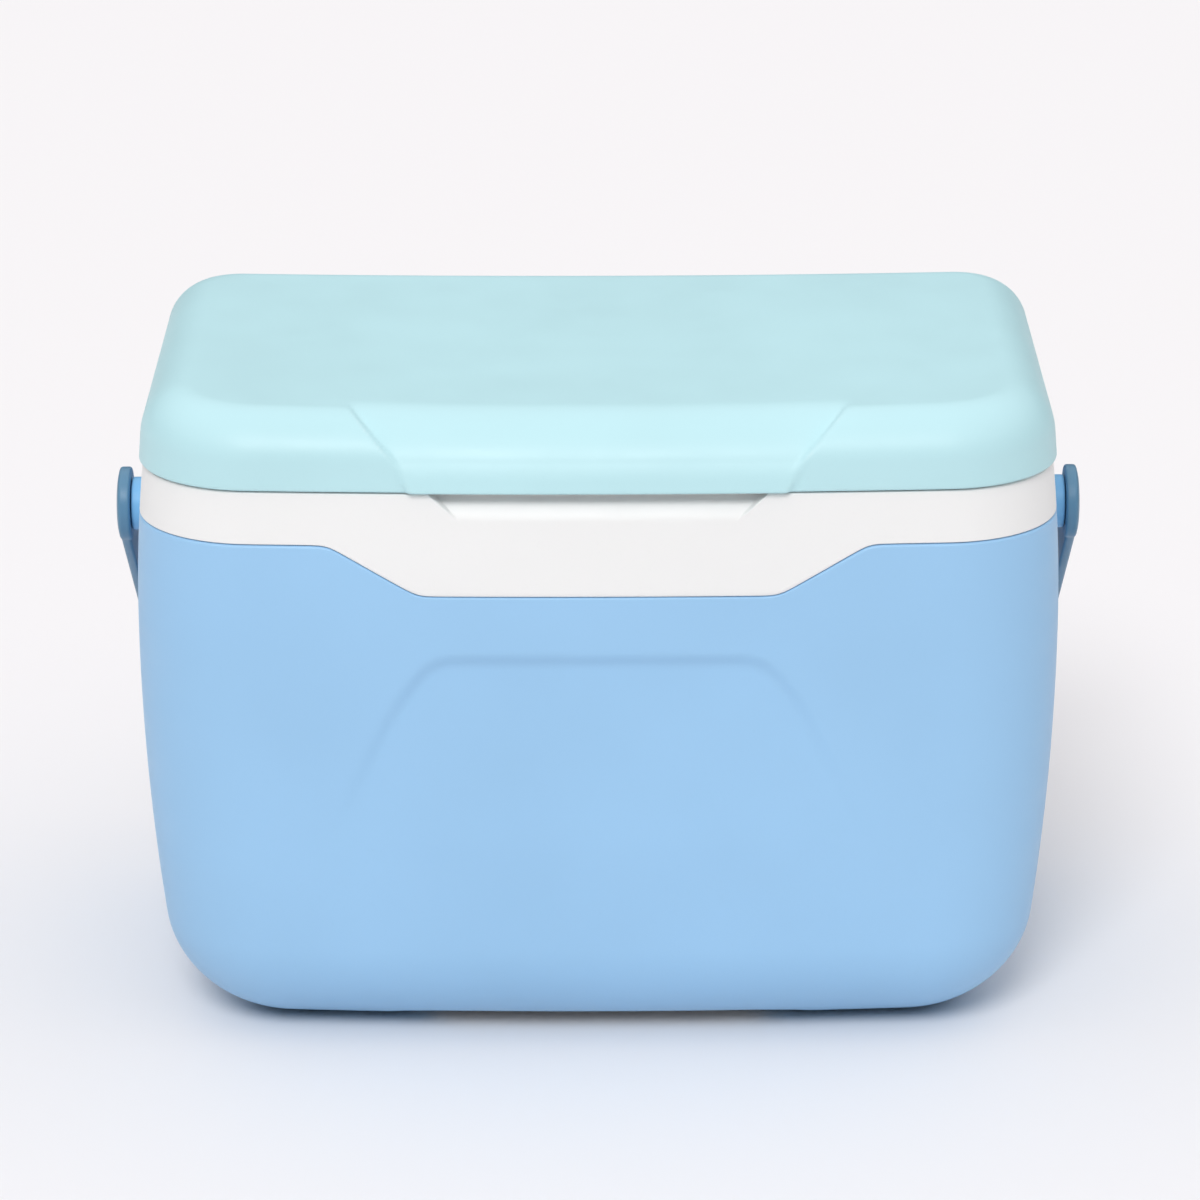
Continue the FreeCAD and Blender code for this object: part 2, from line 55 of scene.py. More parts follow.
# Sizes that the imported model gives
shell_low, shell_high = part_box("outer_shell")
liner_low, liner_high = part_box("inner_liner")
lid_low, lid_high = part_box("lid_shell")
plug_low, plug_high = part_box("lid_liner")
bail_low, bail_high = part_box("bail_handle")
leaf_low, leaf_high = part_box("collar_hinge_leaf_right")
flap_low, flap_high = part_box("lid_hinge_leaf_right")
joints = {joint["name"]: joint for joint in frame["joints"]}
HINGE_AT = Vector(joints["lid_hinge"]["pos_m"])
PIVOT_AT = Vector(joints["handle_swing"]["pos_m"])

WIDEST = shell_high.x
LID_Z = lid_low.z
LID_TOP_Z = lid_high.z
LID_HALF = lid_high.x
LIP_Z = liner_high.z

# Plan outline, with the front as -1 and the rear as 1
LESS = {-1: WIDEST + shell_low.y, 1: WIDEST - shell_high.y}
CROWN = {-1: 8 * MM, 1: 1.5 * MM}
CORNER_R = {-1: 57 * MM, 1: 36 * MM}
LEAST_CORNER_R = 16 * MM

# Body shell
WIDEST_Z = 204.5 * MM
BELLY_BELOW = 0.37
BELLY_ABOVE = 0.65
BASE_FILLET = 52 * MM
SHELL_WALL = 2.8 * MM
BASE_INSET = 58 * MM
FOOT_RECESS = 8.5 * MM
FOOT_TOP_X = 72 * MM
FOOT_X = 100 * MM
FOOT_BRIDGE_Y = 40 * MM
FOOT_EDGE = 2.5 * MM
SEAM_ROUND = 1.4 * MM
TONGUE_OUT = 2.4 * MM
TONGUE_IN = 4.9 * MM
TONGUE_TALL = 5 * MM
TONGUE_DEEP = 8 * MM

# Arch in the front wall: points of its line as (x, z), and the step down into it
ARCH_LINE = ((0, 202.4 * MM), (77 * MM, 202.4 * MM), (94.5 * MM, 183 * MM), (128 * MM, 108.5 * MM))
ARCH_DEPTH = 3 * MM
ARCH_STEP = 4 * MM
ARCH_ROUND = 3 * MM

# Seam between body and collar, with its drop at the front
SEAM_Z = 257.9 * MM
DIP_Z = 233.6 * MM
DIP_TOP_X = 126 * MM
DIP_BOTTOM_X = 83.4 * MM
DIP_SOFT = 0.05
DIP_BACK_Y = -60 * MM
SEAM_GAP = 0.4 * MM
BEND_FROM_Z = 208 * MM

# Collar, lip and tub
COLLAR_Z = LIP_Z - 6.2 * MM
COLLAR_WALL = 2.2 * MM
LIP_INSET = 13 * MM
LINER_WALL = 2.4 * MM
TUB_INSET = 22 * MM
TUB_DRAFT = 12 * MM
TUB_FLOOR_Z = 30 * MM
TUB_FILLET = 14 * MM

# Finger recess in the collar
POCKET_TOP_X = 79.5 * MM
POCKET_BOTTOM_X = 64 * MM
POCKET_BOTTOM_Z = 270 * MM
POCKET_DEPTH = 8.6 * MM
POCKET_COLUMN_X = 72 * MM
POCKET_EDGE = 0.7 * MM

# Lid
LID_DRAFT = 0.078
LID_SHOULDER = 22 * MM
PANEL_SHOULDER = 30 * MM
LID_SAG = 2.3 * MM
LID_WALL = 2.6 * MM
CREASE_TOP_X = 117 * MM
CREASE_BOTTOM_X = 87 * MM
CREASE_EDGE = 1.2 * MM
FINGER_LIP_OUT = 2.2 * MM
FINGER_LIP_TALL = 14 * MM
FINGER_LIP_TOP_X = 96 * MM
FINGER_LIP_BOTTOM_X = 88 * MM

# Lid liner
FLANGE_INSET = 3.3 * MM
FLANGE_Z = 285.7 * MM
GROOVE_Z = 289.9 * MM
GROOVE_INSET = 12.4 * MM
PLUG_INSET = 22.8 * MM
FIELD_INSET = 46 * MM
FIELD_DEEP = 1.6 * MM
PLUG_Z = plug_low.z

# Bail handle
HUB_R = 18 * MM
HUB_IN_X = 228.6 * MM
HUB_OUT_X = bail_high.x
ARM_THICK = 4.6 * MM
ARM_WIDTH = 28 * MM
HUB_DOME = 1.4 * MM
ARM_BELOW_HUB = 0.5 * MM
BAIL_REACH = 191 * MM
BAIL_CORNER = 40 * MM
GRIP_HALF = 68 * MM
GRIP_IN = 180 * MM
GRIP_OUT = 194 * MM
GRIP_WIDTH = 30 * MM
GRIP_END = 7 * MM
GRIP_WAVE = 0.7 * MM
GRIP_PITCH = 28 * MM
GRIP_SQUARENESS = 4.5
REST_ANGLE = math.radians(37)
MOUNT_R = 13 * MM
MOUNT_OUT_X = 228.2 * MM
SPIGOT_R = 9 * MM
SPIGOT_IN_X = 204 * MM
PIN_R = 5 * MM
PIN_HEAD_R = 9 * MM
PIN_HEAD_X = 233.5 * MM
PIN_END_X = 235.2 * MM
RUNNING = 0.05 * MM

# Hinges
HINGE_X = (leaf_low.x + leaf_high.x) / 2
HINGE_HALF = (leaf_high.x - leaf_low.x) / 2
KNUCKLE_R = 3.8 * MM
KNUCKLES = 5
KNUCKLE_GAP = 0.4 * MM
HINGE_PIN_R = 1.5 * MM
SCREW_X = 14 * MM
COLLAR_SCREW_Z = 271.5 * MM
LID_SCREW_Z = 294.3 * MM
COLLAR_FACE_Y = 137 * MM
COLLAR_FACE_TOP_Z = 280 * MM
COLLAR_WEB_Z = 275 * MM
LID_FACE_Y = 136.2 * MM
LID_FACE_LOW_Z = 287.5 * MM
LID_WEB_Z = 291.5 * MM
SCREW_R = 1.5 * MM
SCREW_HEAD_R = 3 * MM
SCREW_HEAD = 1.6 * MM
SCREW_LENGTH = 11 * MM


# --- numbers ---

def smooth(value, low, high):
    """0 below low, 1 above high, and an S curve between."""
    t = np.clip((value - low) / (high - low), 0, 1)
    return t * t * (3 - 2 * t)


def soft_ramp(t, soft):
    """A ramp from 0 to 1 as t goes from 0 to 1, rounded where it starts and ends."""
    return soft * (np.logaddexp(0, t / soft) - np.logaddexp(0, (t - 1) / soft))


def unit(v):
    return v / np.linalg.norm(v)


def span(start, end, step):
    """Points between two others, a step apart, with one close to each end to hold the shading."""
    length = np.linalg.norm(end - start)
    hold = 0.5 * MM
    if length < 4 * hold:
        return []
    shares = np.linspace(hold / length, 1 - hold / length, max(2, math.ceil(length / step)))
    return [start + (end - start) * share for share in shares]


def rounded_path(corners, least=15):
    """Points along corners given as (across, height, radius, step), with at most least degrees a point."""
    path = [np.array(corners[0][:2])]
    for before, corner, after in zip(corners, corners[1:], corners[2:]):
        here = np.array(corner[:2])
        radius, step = corner[2:]
        back = unit(np.array(before[:2]) - here)
        ahead = unit(np.array(after[:2]) - here)
        turn = math.pi - math.acos(float(np.clip(back @ ahead, -1, 1)))
        run = radius * math.tan(turn / 2)
        start, end = here + back * run, here + ahead * run
        path += span(path[-1], start, step)
        if radius == 0:
            path.append(here)
            continue
        centre = here + unit(back + ahead) * radius / math.cos(turn / 2)
        count = max(math.ceil(math.degrees(turn) / least), math.ceil(radius * turn / step))
        for share in np.linspace(0, 1, count + 1):
            mix = math.sin((1 - share) * turn) * (start - centre) + math.sin(share * turn) * (end - centre)
            path.append(centre + mix / math.sin(turn))
    last = np.array(corners[-1][:2])
    path += span(path[-1], last, corners[-1][3])
    path.append(last)
    return np.array(path)


# --- plan outline ---

def half_width(z):
    """Half-width of the body's outside at a height."""
    taper = np.where(z < WIDEST_Z, BELLY_BELOW, BELLY_ABOVE)
    return WIDEST - taper * (z - WIDEST_Z) ** 2


RIM_HALF = float(half_width(COLLAR_Z))


def spread(bands):
    """Distances from the middle, for bands of (end, step)."""
    marks = [0.0]
    for end, step in bands:
        start = marks[-1]
        count = math.ceil((end - start) / step)
        marks += [start + (end - start) * (k + 1) / count for k in range(count)]
    return np.array(marks)


def column_runs():
    """Each stretch of the outline: what it is, front or rear, left or right, and its columns' shares."""
    half_front = spread((
        (58 * MM, 2 * MM), (70.4 * MM, 1.3 * MM), (73.6 * MM, 0.4 * MM),
        (90 * MM, 1.3 * MM), (135 * MM, 1.8 * MM), (162.3 * MM, 3 * MM)))
    front = np.concatenate([-half_front[::-1], half_front[1:]]) / half_front[-1]
    rear = np.linspace(1, -1, 57)
    front_corner = np.linspace(0, 1, 29)
    rear_corner = np.linspace(0, 1, 17)
    end = np.linspace(0, 1, 33)
    runs = [
        ("face", -1, 0, front), ("corner", -1, 1, front_corner), ("end", 0, 1, end),
        ("corner", 1, 1, rear_corner[::-1]), ("face", 1, 0, rear), ("corner", 1, -1, rear_corner),
        ("end", 0, -1, end[::-1]), ("corner", -1, -1, front_corner[::-1]),
    ]
    placed = []
    first = 0
    for kind, way, side, shares in runs:
        count = len(shares) - 1
        placed.append((kind, way, side, shares[:-1], slice(first, first + count)))
        first += count
    return placed, first


RUNS, COLUMNS = column_runs()


def face_curve(half, inset, way):
    """A crowned face's half-width, corner radius, bow radius and centre, corner centre and tangent angle."""
    a = half - inset
    r = np.maximum(CORNER_R[way] - inset, LEAST_CORNER_R)
    big = (a * a + CROWN[way] ** 2) / (2 * CROWN[way])
    centre = half - LESS[way] - inset - big
    corner_y = centre + np.sqrt((big - r) ** 2 - (a - r) ** 2)
    lean = np.arcsin((a - r) / (big - r))
    return a, r, big, centre, corner_y, lean


def plan(half, inset):
    """X and Y of every column, with a half-width and an inset for each."""
    x = np.empty(COLUMNS)
    y = np.empty(COLUMNS)
    for kind, way, side, share, at in RUNS:
        if kind == "end":
            x[at] = side * (half[at] - inset[at])
            front_y = -face_curve(half[at], inset[at], -1)[4]
            rear_y = face_curve(half[at], inset[at], 1)[4]
            y[at] = front_y + (rear_y - front_y) * share
            continue
        a, r, big, centre, corner_y, lean = face_curve(half[at], inset[at], way)
        if kind == "face":
            x[at] = big * np.sin(share * lean)
            y[at] = way * (centre + big * np.cos(share * lean))
        else:
            angle = lean + (math.pi / 2 - lean) * share
            x[at] = side * (a - r + r * np.sin(angle))
            y[at] = way * (corner_y + r * np.cos(angle))
    return x, y


def rings_of(path, half_of, bend=None, relief=None):
    """A ring for each point of a path. bend changes its heights, and relief moves its points."""
    rings = []
    for inset, height in path:
        insets = np.full(COLUMNS, inset)
        z = np.full(COLUMNS, height)
        x, y = plan(half_of(z, inset), insets)
        if bend:
            z = bend(x, y, z)
            x, y = plan(half_of(z, inset), insets)
        ring = np.stack([x, y, z], axis=1)
        rings.append(relief(ring, inset) if relief else ring)
    return np.array(rings)


# --- meshes ---

def grid_lines(reach, step, near=(), fine=1.5 * MM, band=5 * MM):
    """Places of grid lines each side of 0, closer together round some of them."""
    lines = set(np.round(np.arange(0, reach, step), 6))
    for place in near:
        lines = {line for line in lines if abs(line - place) > band}
        lines |= set(np.round(np.arange(place - band, place + band, fine), 6))
    return np.array(sorted({-line for line in lines} | lines))


def inside(ring, points, margin):
    """Which points lie inside a ring, and at least a margin from its corners."""
    ax, ay = ring[:, 0], ring[:, 1]
    bx, by = np.roll(ax, -1), np.roll(ay, -1)
    px, py = points[:, :1], points[:, 1:2]
    crossing = (ay > py) != (by > py)
    rise = np.where(by == ay, 1, by - ay)
    left = px < ax + (py - ay) * (bx - ax) / rise
    odd = (crossing & left).sum(1) % 2 == 1
    near = np.hypot(px - ax, py - ay).min(1)
    return odd & (near > margin)


def fill(ring, xs, ys, height):
    """Points inside a ring on grid lines, and triangles over it. height gives z for x and y."""
    grid = np.array([(x, y) for y in ys for x in xs])
    grid = grid[inside(ring, grid, 1.5 * MM)]
    flat = np.concatenate([ring[:, :2], grid]) / MM
    edges = [(k, (k + 1) % len(ring)) for k in range(len(ring))]
    made = delaunay_2d_cdt([Vector(p) for p in flat], edges, [], 1, 1e-6)
    source = [ids[0] for ids in made[3]]
    triangles = [tuple(source[v] for v in face) for face in made[2]]
    return np.column_stack([grid, height(grid[:, 0], grid[:, 1])]), triangles


def closed(rings, first_fill, last_fill):
    """Vertices and faces of a closed body: its rings, a bottom in the first one and a top in the last."""
    count, columns = rings.shape[:2]
    start = (np.arange(count - 1) * columns)[:, None]
    here = start + np.arange(columns)[None, :]
    beside = start + np.roll(np.arange(columns), -1)[None, :]
    quads = np.stack([here, beside, beside + columns, here + columns], axis=2).reshape(-1, 4)
    faces = [tuple(q) for q in quads.tolist()]
    vertices = [rings.reshape(-1, 3)]
    total = count * columns
    for ring_start, (points, triangles), flip in ((0, first_fill, True), (total - columns, last_fill, False)):
        shift = total - columns
        for face in triangles:
            moved = [v + ring_start if v < columns else v + shift for v in face]
            faces.append(tuple(reversed(moved)) if flip else tuple(moved))
        vertices.append(points)
        total += len(points)
    return np.concatenate(vertices), faces


def tube(rings, loop=False):
    """Vertices and faces of a stack of rings, with flat ends, or closed on itself as a loop."""
    count, columns = rings.shape[:2]
    faces = []
    for row in range(count if loop else count - 1):
        after = (row + 1) % count
        for k in range(columns):
            k_next = (k + 1) % columns
            faces.append((row * columns + k, row * columns + k_next,
                          after * columns + k_next, after * columns + k))
    if not loop:
        faces.append(tuple(reversed(range(columns))))
        faces.append(tuple(range((count - 1) * columns, count * columns)))
    return rings.reshape(-1, 3), faces


def merged(parts):
    """Vertices and faces of several meshes as one."""
    vertices = []
    faces = []
    total = 0
    for points, sides in parts:
        vertices.append(points)
        faces += [tuple(v + total for v in side) for side in sides]
        total += len(points)
    return np.concatenate(vertices), faces


def new_object(name, made):
    """A smooth-shaded object from vertices and faces."""
    mesh = bpy.data.meshes.new(name)
    mesh.from_pydata([tuple(v) for v in made[0]], [], made[1])
    mesh.update()
    mesh.shade_smooth()
    obj = bpy.data.objects.new(name, mesh)
    bpy.context.scene.collection.objects.link(obj)
    return obj


def outward(obj):
    """Turns the faces of a closed mesh outward."""
    work = bmesh.new()
    work.from_mesh(obj.data)
    bmesh.ops.recalc_face_normals(work, faces=work.faces)
    work.to_mesh(obj.data)
    work.free()
    return obj


def boolean(obj, made, operation):
    """Joins to an object, or cuts out of it, another mesh."""
    tool = outward(new_object("tool", made))
    step = obj.modifiers.new("step", "BOOLEAN")
    step.operation = operation
    step.solver = "EXACT"
    step.object = tool
    graph = bpy.context.evaluated_depsgraph_get()
    result = bpy.data.meshes.new_from_object(obj.evaluated_get(graph))
    obj.modifiers.clear()
    obj.data = result
    bpy.data.objects.remove(tool)
    return obj


def crisp(obj, degrees=35):
    """Shades an object smooth, with edges sharper than an angle kept sharp."""
    obj.data.shade_smooth()
    obj.data.set_sharp_from_angle(angle=math.radians(degrees))
    return obj


def finished(obj, body, slot, material, *nodes):
    """Gives a piece its material, its body and the CAD nodes that it stands for; its slot is not used."""
    obj.data.materials.clear()
    obj.data.materials.append(material)
    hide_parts(*nodes)
    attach(obj, body)
    return obj


# --- materials ---

class Nodes:
    """A material's node tree, with short calls for the nodes used here."""

    def __init__(self, name):
        self.material = bpy.data.materials.new(name)
        self.material.use_nodes = True
        self.tree = self.material.node_tree
        self.shader = self.tree.nodes["Principled BSDF"]
        self.place = self.tree.nodes.new("ShaderNodeTexCoord").outputs["Object"]

    def link(self, source, target):
        self.tree.links.new(source, target)

    def noise(self, scale, detail=3.0, rough=0.5, stretch=None):
        node = self.tree.nodes.new("ShaderNodeTexNoise")
        node.inputs["Scale"].default_value = scale
        node.inputs["Detail"].default_value = detail
        node.inputs["Roughness"].default_value = rough
        place = self.place
        if stretch:
            mapping = self.tree.nodes.new("ShaderNodeMapping")
            mapping.inputs["Scale"].default_value = stretch
            self.link(place, mapping.inputs["Vector"])
            place = mapping.outputs["Vector"]
        self.link(place, node.inputs["Vector"])
        return node.outputs["Fac"]

    def ranged(self, source, low, high, to_low, to_high):
        node = self.tree.nodes.new("ShaderNodeMapRange")
        for name, value in (("From Min", low), ("From Max", high), ("To Min", to_low), ("To Max", to_high)):
            node.inputs[name].default_value = value
        self.link(source, node.inputs["Value"])
        return node.outputs["Result"]

    def math(self, operation, first, second):
        node = self.tree.nodes.new("ShaderNodeMath")
        node.operation = operation
        for socket, value in zip(node.inputs, (first, second)):
            if isinstance(value, (int, float)):
                socket.default_value = value
            else:
                self.link(value, socket)
        return node.outputs["Value"]

    def mix(self, share, first, second):
        node = self.tree.nodes.new("ShaderNodeMix")
        node.data_type = "RGBA"
        self.link(share, node.inputs["Factor"])
        for socket, value in ((node.inputs["A"], first), (node.inputs["B"], second)):
            if isinstance(value, tuple):
                socket.default_value = (*value, 1)
            else:
                self.link(value, socket)
        return node.outputs["Result"]

    def edges(self, low, high):
        """How far a place is on a convex edge, broken up by noise."""
        geometry = self.tree.nodes.new("ShaderNodeNewGeometry")
        edge = self.ranged(geometry.outputs["Pointiness"], low, high, 0, 1)
        broken = self.ranged(self.noise(160, 4), 0.4, 0.65, 0.2, 1)
        return self.math("MULTIPLY", edge, broken)

    def bump(self, height, distance, strength=1.0, normal=None):
        node = self.tree.nodes.new("ShaderNodeBump")
        node.inputs["Distance"].default_value = distance
        node.inputs["Strength"].default_value = strength
        self.link(height, node.inputs["Height"])
        if normal:
            self.link(normal, node.inputs["Normal"])
        return node.outputs["Normal"]


def shaded(colour, factor):
    return tuple(min(1.0, c * factor) for c in colour)


def plastic(name, colour, roughness, grain=0.02 * MM, edge_wear_and_highlight=0.35, variation=0.03):
    """Moulded plastic: faint clouds of colour, a fine eroded texture, long flow marks, and paler convex edges
    that are partly wear and partly a painted highlight.
    """
    nodes = Nodes(name)
    clouds = nodes.ranged(nodes.noise(7, 2), 0.3, 0.7, 0, 1)
    base = nodes.mix(clouds, shaded(colour, 1 - variation), shaded(colour, 1 + variation))
    specks = nodes.ranged(nodes.noise(900, 2), 0.62, 0.75, 0, 0.25)
    base = nodes.mix(specks, base, shaded(colour, 0.93))
    # Convex edges are painted paler: partly wear, and partly a painted highlight where edges catch the light.
    edge_wear_and_highlight_colour = tuple(c + (1 - c) * edge_wear_and_highlight for c in colour)
    base = nodes.mix(nodes.edges(0.52, 0.6), base, edge_wear_and_highlight_colour)
    nodes.link(base, nodes.shader.inputs["Base Color"])
    scuffs = nodes.noise(28, 5, 0.7, (1, 1, 2.5))
    nodes.link(nodes.ranged(scuffs, 0.3, 0.7, roughness - 0.05, roughness + 0.06),
               nodes.shader.inputs["Roughness"])
    texture = nodes.bump(nodes.noise(1500, 2, 0.6), grain)
    waves = nodes.bump(nodes.noise(16, 1), 0.25 * MM, 0.35, texture)
    nodes.link(waves, nodes.shader.inputs["Normal"])
    nodes.shader.inputs["IOR"].default_value = 1.49
    nodes.shader.inputs["Specular IOR Level"].default_value = 0.42
    return nodes.material


def steel(name, colour):
    """Zinc-plated steel with fine turned lines."""
    nodes = Nodes(name)
    lines = nodes.noise(900, 3, 0.6, (1, 0.08, 0.08))
    base = nodes.mix(nodes.ranged(lines, 0.3, 0.7, 0, 1), shaded(colour, 0.88), shaded(colour, 1.08))
    stains = nodes.ranged(nodes.noise(90, 4), 0.55, 0.75, 0, 0.4)
    base = nodes.mix(stains, base, (0.36, 0.34, 0.31))
    nodes.link(base, nodes.shader.inputs["Base Color"])
    nodes.link(nodes.ranged(lines, 0.3, 0.7, 0.24, 0.42), nodes.shader.inputs["Roughness"])
    nodes.link(nodes.bump(lines, 0.02 * MM), nodes.shader.inputs["Normal"])
    nodes.shader.inputs["Metallic"].default_value = 1.0
    return nodes.material


def rigid_foam(name, colour):
    """Closed-cell insulation: small round cells under a thin skin."""
    nodes = Nodes(name)
    cells = nodes.tree.nodes.new("ShaderNodeTexVoronoi")
    cells.inputs["Scale"].default_value = 700
    nodes.link(nodes.place, cells.inputs["Vector"])
    depth = cells.outputs["Distance"]
    base = nodes.mix(nodes.ranged(depth, 0, 0.7, 0, 1), shaded(colour, 0.8), shaded(colour, 1.05))
    blotches = nodes.ranged(nodes.noise(30, 3), 0.45, 0.7, 0, 0.5)
    base = nodes.mix(blotches, base, shaded(colour, 0.88))
    nodes.link(base, nodes.shader.inputs["Base Color"])
    nodes.link(nodes.ranged(depth, 0, 0.7, 0.95, 0.75), nodes.shader.inputs["Roughness"])
    nodes.link(nodes.bump(depth, 0.3 * MM), nodes.shader.inputs["Normal"])
    return nodes.material


BLUE = plastic("shell_blue", (0.342, 0.598, 0.868), 0.44)
AQUA = plastic("lid_aqua", (0.514, 0.787, 0.833), 0.43)
WHITE = plastic("collar_white", (0.895, 0.895, 0.885), 0.40, edge_wear_and_highlight=0.5, variation=0.012)
HINGE_WHITE = plastic("hinge_white", (0.84, 0.84, 0.835), 0.44, edge_wear_and_highlight=0.5, variation=0.015)
HANDLE_BLUE = plastic("handle_blue", (0.11, 0.25, 0.38), 0.42, edge_wear_and_highlight=0.12)
MOUNT_BLUE = plastic("mount_blue", (0.23, 0.54, 0.84), 0.45)
FOAM = rigid_foam("foam", (0.85, 0.82, 0.70))
STEEL = steel("steel", (0.62, 0.62, 0.63))


# --- body shell ---

def seam_drop(x, y):
    """How far the seam is below its usual height."""
    along = soft_ramp((np.abs(x) - DIP_BOTTOM_X) / (DIP_TOP_X - DIP_BOTTOM_X), DIP_SOFT)
    return np.where(y < DIP_BACK_Y, (SEAM_Z - DIP_Z) * (1 - along), 0)


def shell_bend(x, y, z):
    """Lowers the shell's upper part at the front to follow the seam."""
    return z - seam_drop(x, y) * np.clip((z - BEND_FROM_Z) / (SEAM_Z - BEND_FROM_Z), 0, 1)


def arch_shift(x, z):
    """How deep the arch recess is: deepest at its top, and nothing at its feet."""
    outside = []
    for (x0, z0), (x1, z1) in zip(ARCH_LINE, ARCH_LINE[1:]):
        length = math.hypot(x1 - x0, z1 - z0)
        outside.append(((np.abs(x) - x0) * (z0 - z1) + (z - z0) * (x1 - x0)) / length)
    distance = ARCH_ROUND * np.logaddexp.reduce(np.array(outside) / ARCH_ROUND, axis=0)
    foot_z, top_z = ARCH_LINE[-1][1], ARCH_LINE[0][1]
    depth = ARCH_DEPTH * np.clip((z - foot_z) / (top_z - foot_z), 0, 1)
    return depth * (1 - smooth(distance, -ARCH_STEP, ARCH_STEP))


def foot_height(x, y, z, wall):
    """Lifts the base into its front and rear recesses."""
    across = 1 - soft_ramp((np.abs(x) - FOOT_TOP_X - wall) / (FOOT_X - FOOT_TOP_X), 0.06)
    along = smooth(np.abs(y), FOOT_BRIDGE_Y - wall - FOOT_EDGE, FOOT_BRIDGE_Y - wall + FOOT_EDGE)
    return z + across * along * np.maximum(FOOT_RECESS + wall - z, 0)


def shell_relief(ring, wall):
    """Pushes the front wall into the arch and the base into its recesses."""
    x, y, z = ring.T
    y = np.where(y < DIP_BACK_Y, y + arch_shift(x, z), y)
    return np.stack([x, y, foot_height(x, y, z, wall)], axis=1)


def make_body_shell():
    """The blue body: its outside, the tongue that the collar covers, and its inside down to the base."""
    outside = rounded_path((
        (BASE_INSET, 0, 0, 3 * MM),
        (0, 0, BASE_FILLET, 3 * MM),
        (0, SEAM_Z, SEAM_ROUND, 1.9 * MM),
        (TONGUE_OUT, SEAM_Z, 0.3 * MM, 2 * MM),
        (TONGUE_OUT, SEAM_Z + TONGUE_TALL, 0.5 * MM, 2 * MM),
        (TONGUE_IN, SEAM_Z + TONGUE_TALL, 0, 2 * MM),
    ))
    within = rounded_path((
        (TONGUE_IN, SEAM_Z + TONGUE_TALL - 0.5 * MM, 0, 8 * MM),
        (TONGUE_IN, SEAM_Z - TONGUE_DEEP, 0.3 * MM, 4 * MM),
        (SHELL_WALL, SEAM_Z - TONGUE_DEEP, 0.3 * MM, 4 * MM),
        (SHELL_WALL, SHELL_WALL, BASE_FILLET - SHELL_WALL, 9 * MM),
        (BASE_INSET, SHELL_WALL, 0, 9 * MM),
    ))

    def half_of(z, inset):
        return half_width(z)

    outer = rings_of(outside, half_of, shell_bend, lambda ring, inset: shell_relief(ring, 0))
    inner = rings_of(within, half_of, shell_bend, lambda ring, inset: shell_relief(ring, SHELL_WALL))
    xs = grid_lines(WIDEST, 7 * MM, (FOOT_TOP_X, FOOT_X))
    ys = grid_lines(WIDEST, 7 * MM, (FOOT_BRIDGE_Y,))
    under = fill(outer[0], xs, ys, lambda x, y: foot_height(x, y, 0 * x, 0))
    floor = fill(inner[-1], xs, ys, lambda x, y: foot_height(x, y, 0 * x + SHELL_WALL, SHELL_WALL))
    shell = new_object("body_shell", closed(np.concatenate([outer, inner]), under, floor))
    return finished(shell, "chest", "shell_blue", BLUE, "outer_shell")


# --- collar, lip and tub ---

def collar_bend(x, y, z):
    """Lowers the collar's lower part at the front to follow the seam."""
    low, high = SEAM_Z + SEAM_GAP, POCKET_BOTTOM_Z - 2 * MM
    return z - seam_drop(x, y) * np.clip((high - z) / (high - low), 0, 1)


def pocket_relief(ring, inset, reach):
    """Moves columns to the finger recess's slanting ends and pushes the wall back between them."""
    x, y, z = ring.T
    front = y < DIP_BACK_Y
    slope = (POCKET_TOP_X - POCKET_BOTTOM_X) / (LID_Z - POCKET_BOTTOM_Z)
    edge = POCKET_BOTTOM_X + slope * (z - POCKET_BOTTOM_Z)
    nearness = np.clip(1 - np.abs(np.abs(x) - POCKET_COLUMN_X) / (30 * MM), 0, 1)
    held = smooth(z, POCKET_BOTTOM_Z - 22 * MM, POCKET_BOTTOM_Z)
    x = np.where(front, x + np.sign(x) * nearness * held * (edge - POCKET_COLUMN_X), x)
    within = 1 - smooth(np.abs(x), edge - POCKET_EDGE, edge + POCKET_EDGE)
    rise = np.clip((z - POCKET_BOTTOM_Z) / (COLLAR_Z - POCKET_BOTTOM_Z), 0, 1) ** 1.5
    give = max(0.0, 1 - inset / reach)
    y = np.where(front, y + POCKET_DEPTH * within * rise * give, y)
    return np.stack([x, y, z], axis=1)


def tub_inset(z, wall):
    """How far in the drafted tub wall is at a height, on its outside for a wall above 0."""
    return TUB_INSET - wall + TUB_DRAFT * (LIP_Z - z) / (LIP_Z - TUB_FLOOR_Z)


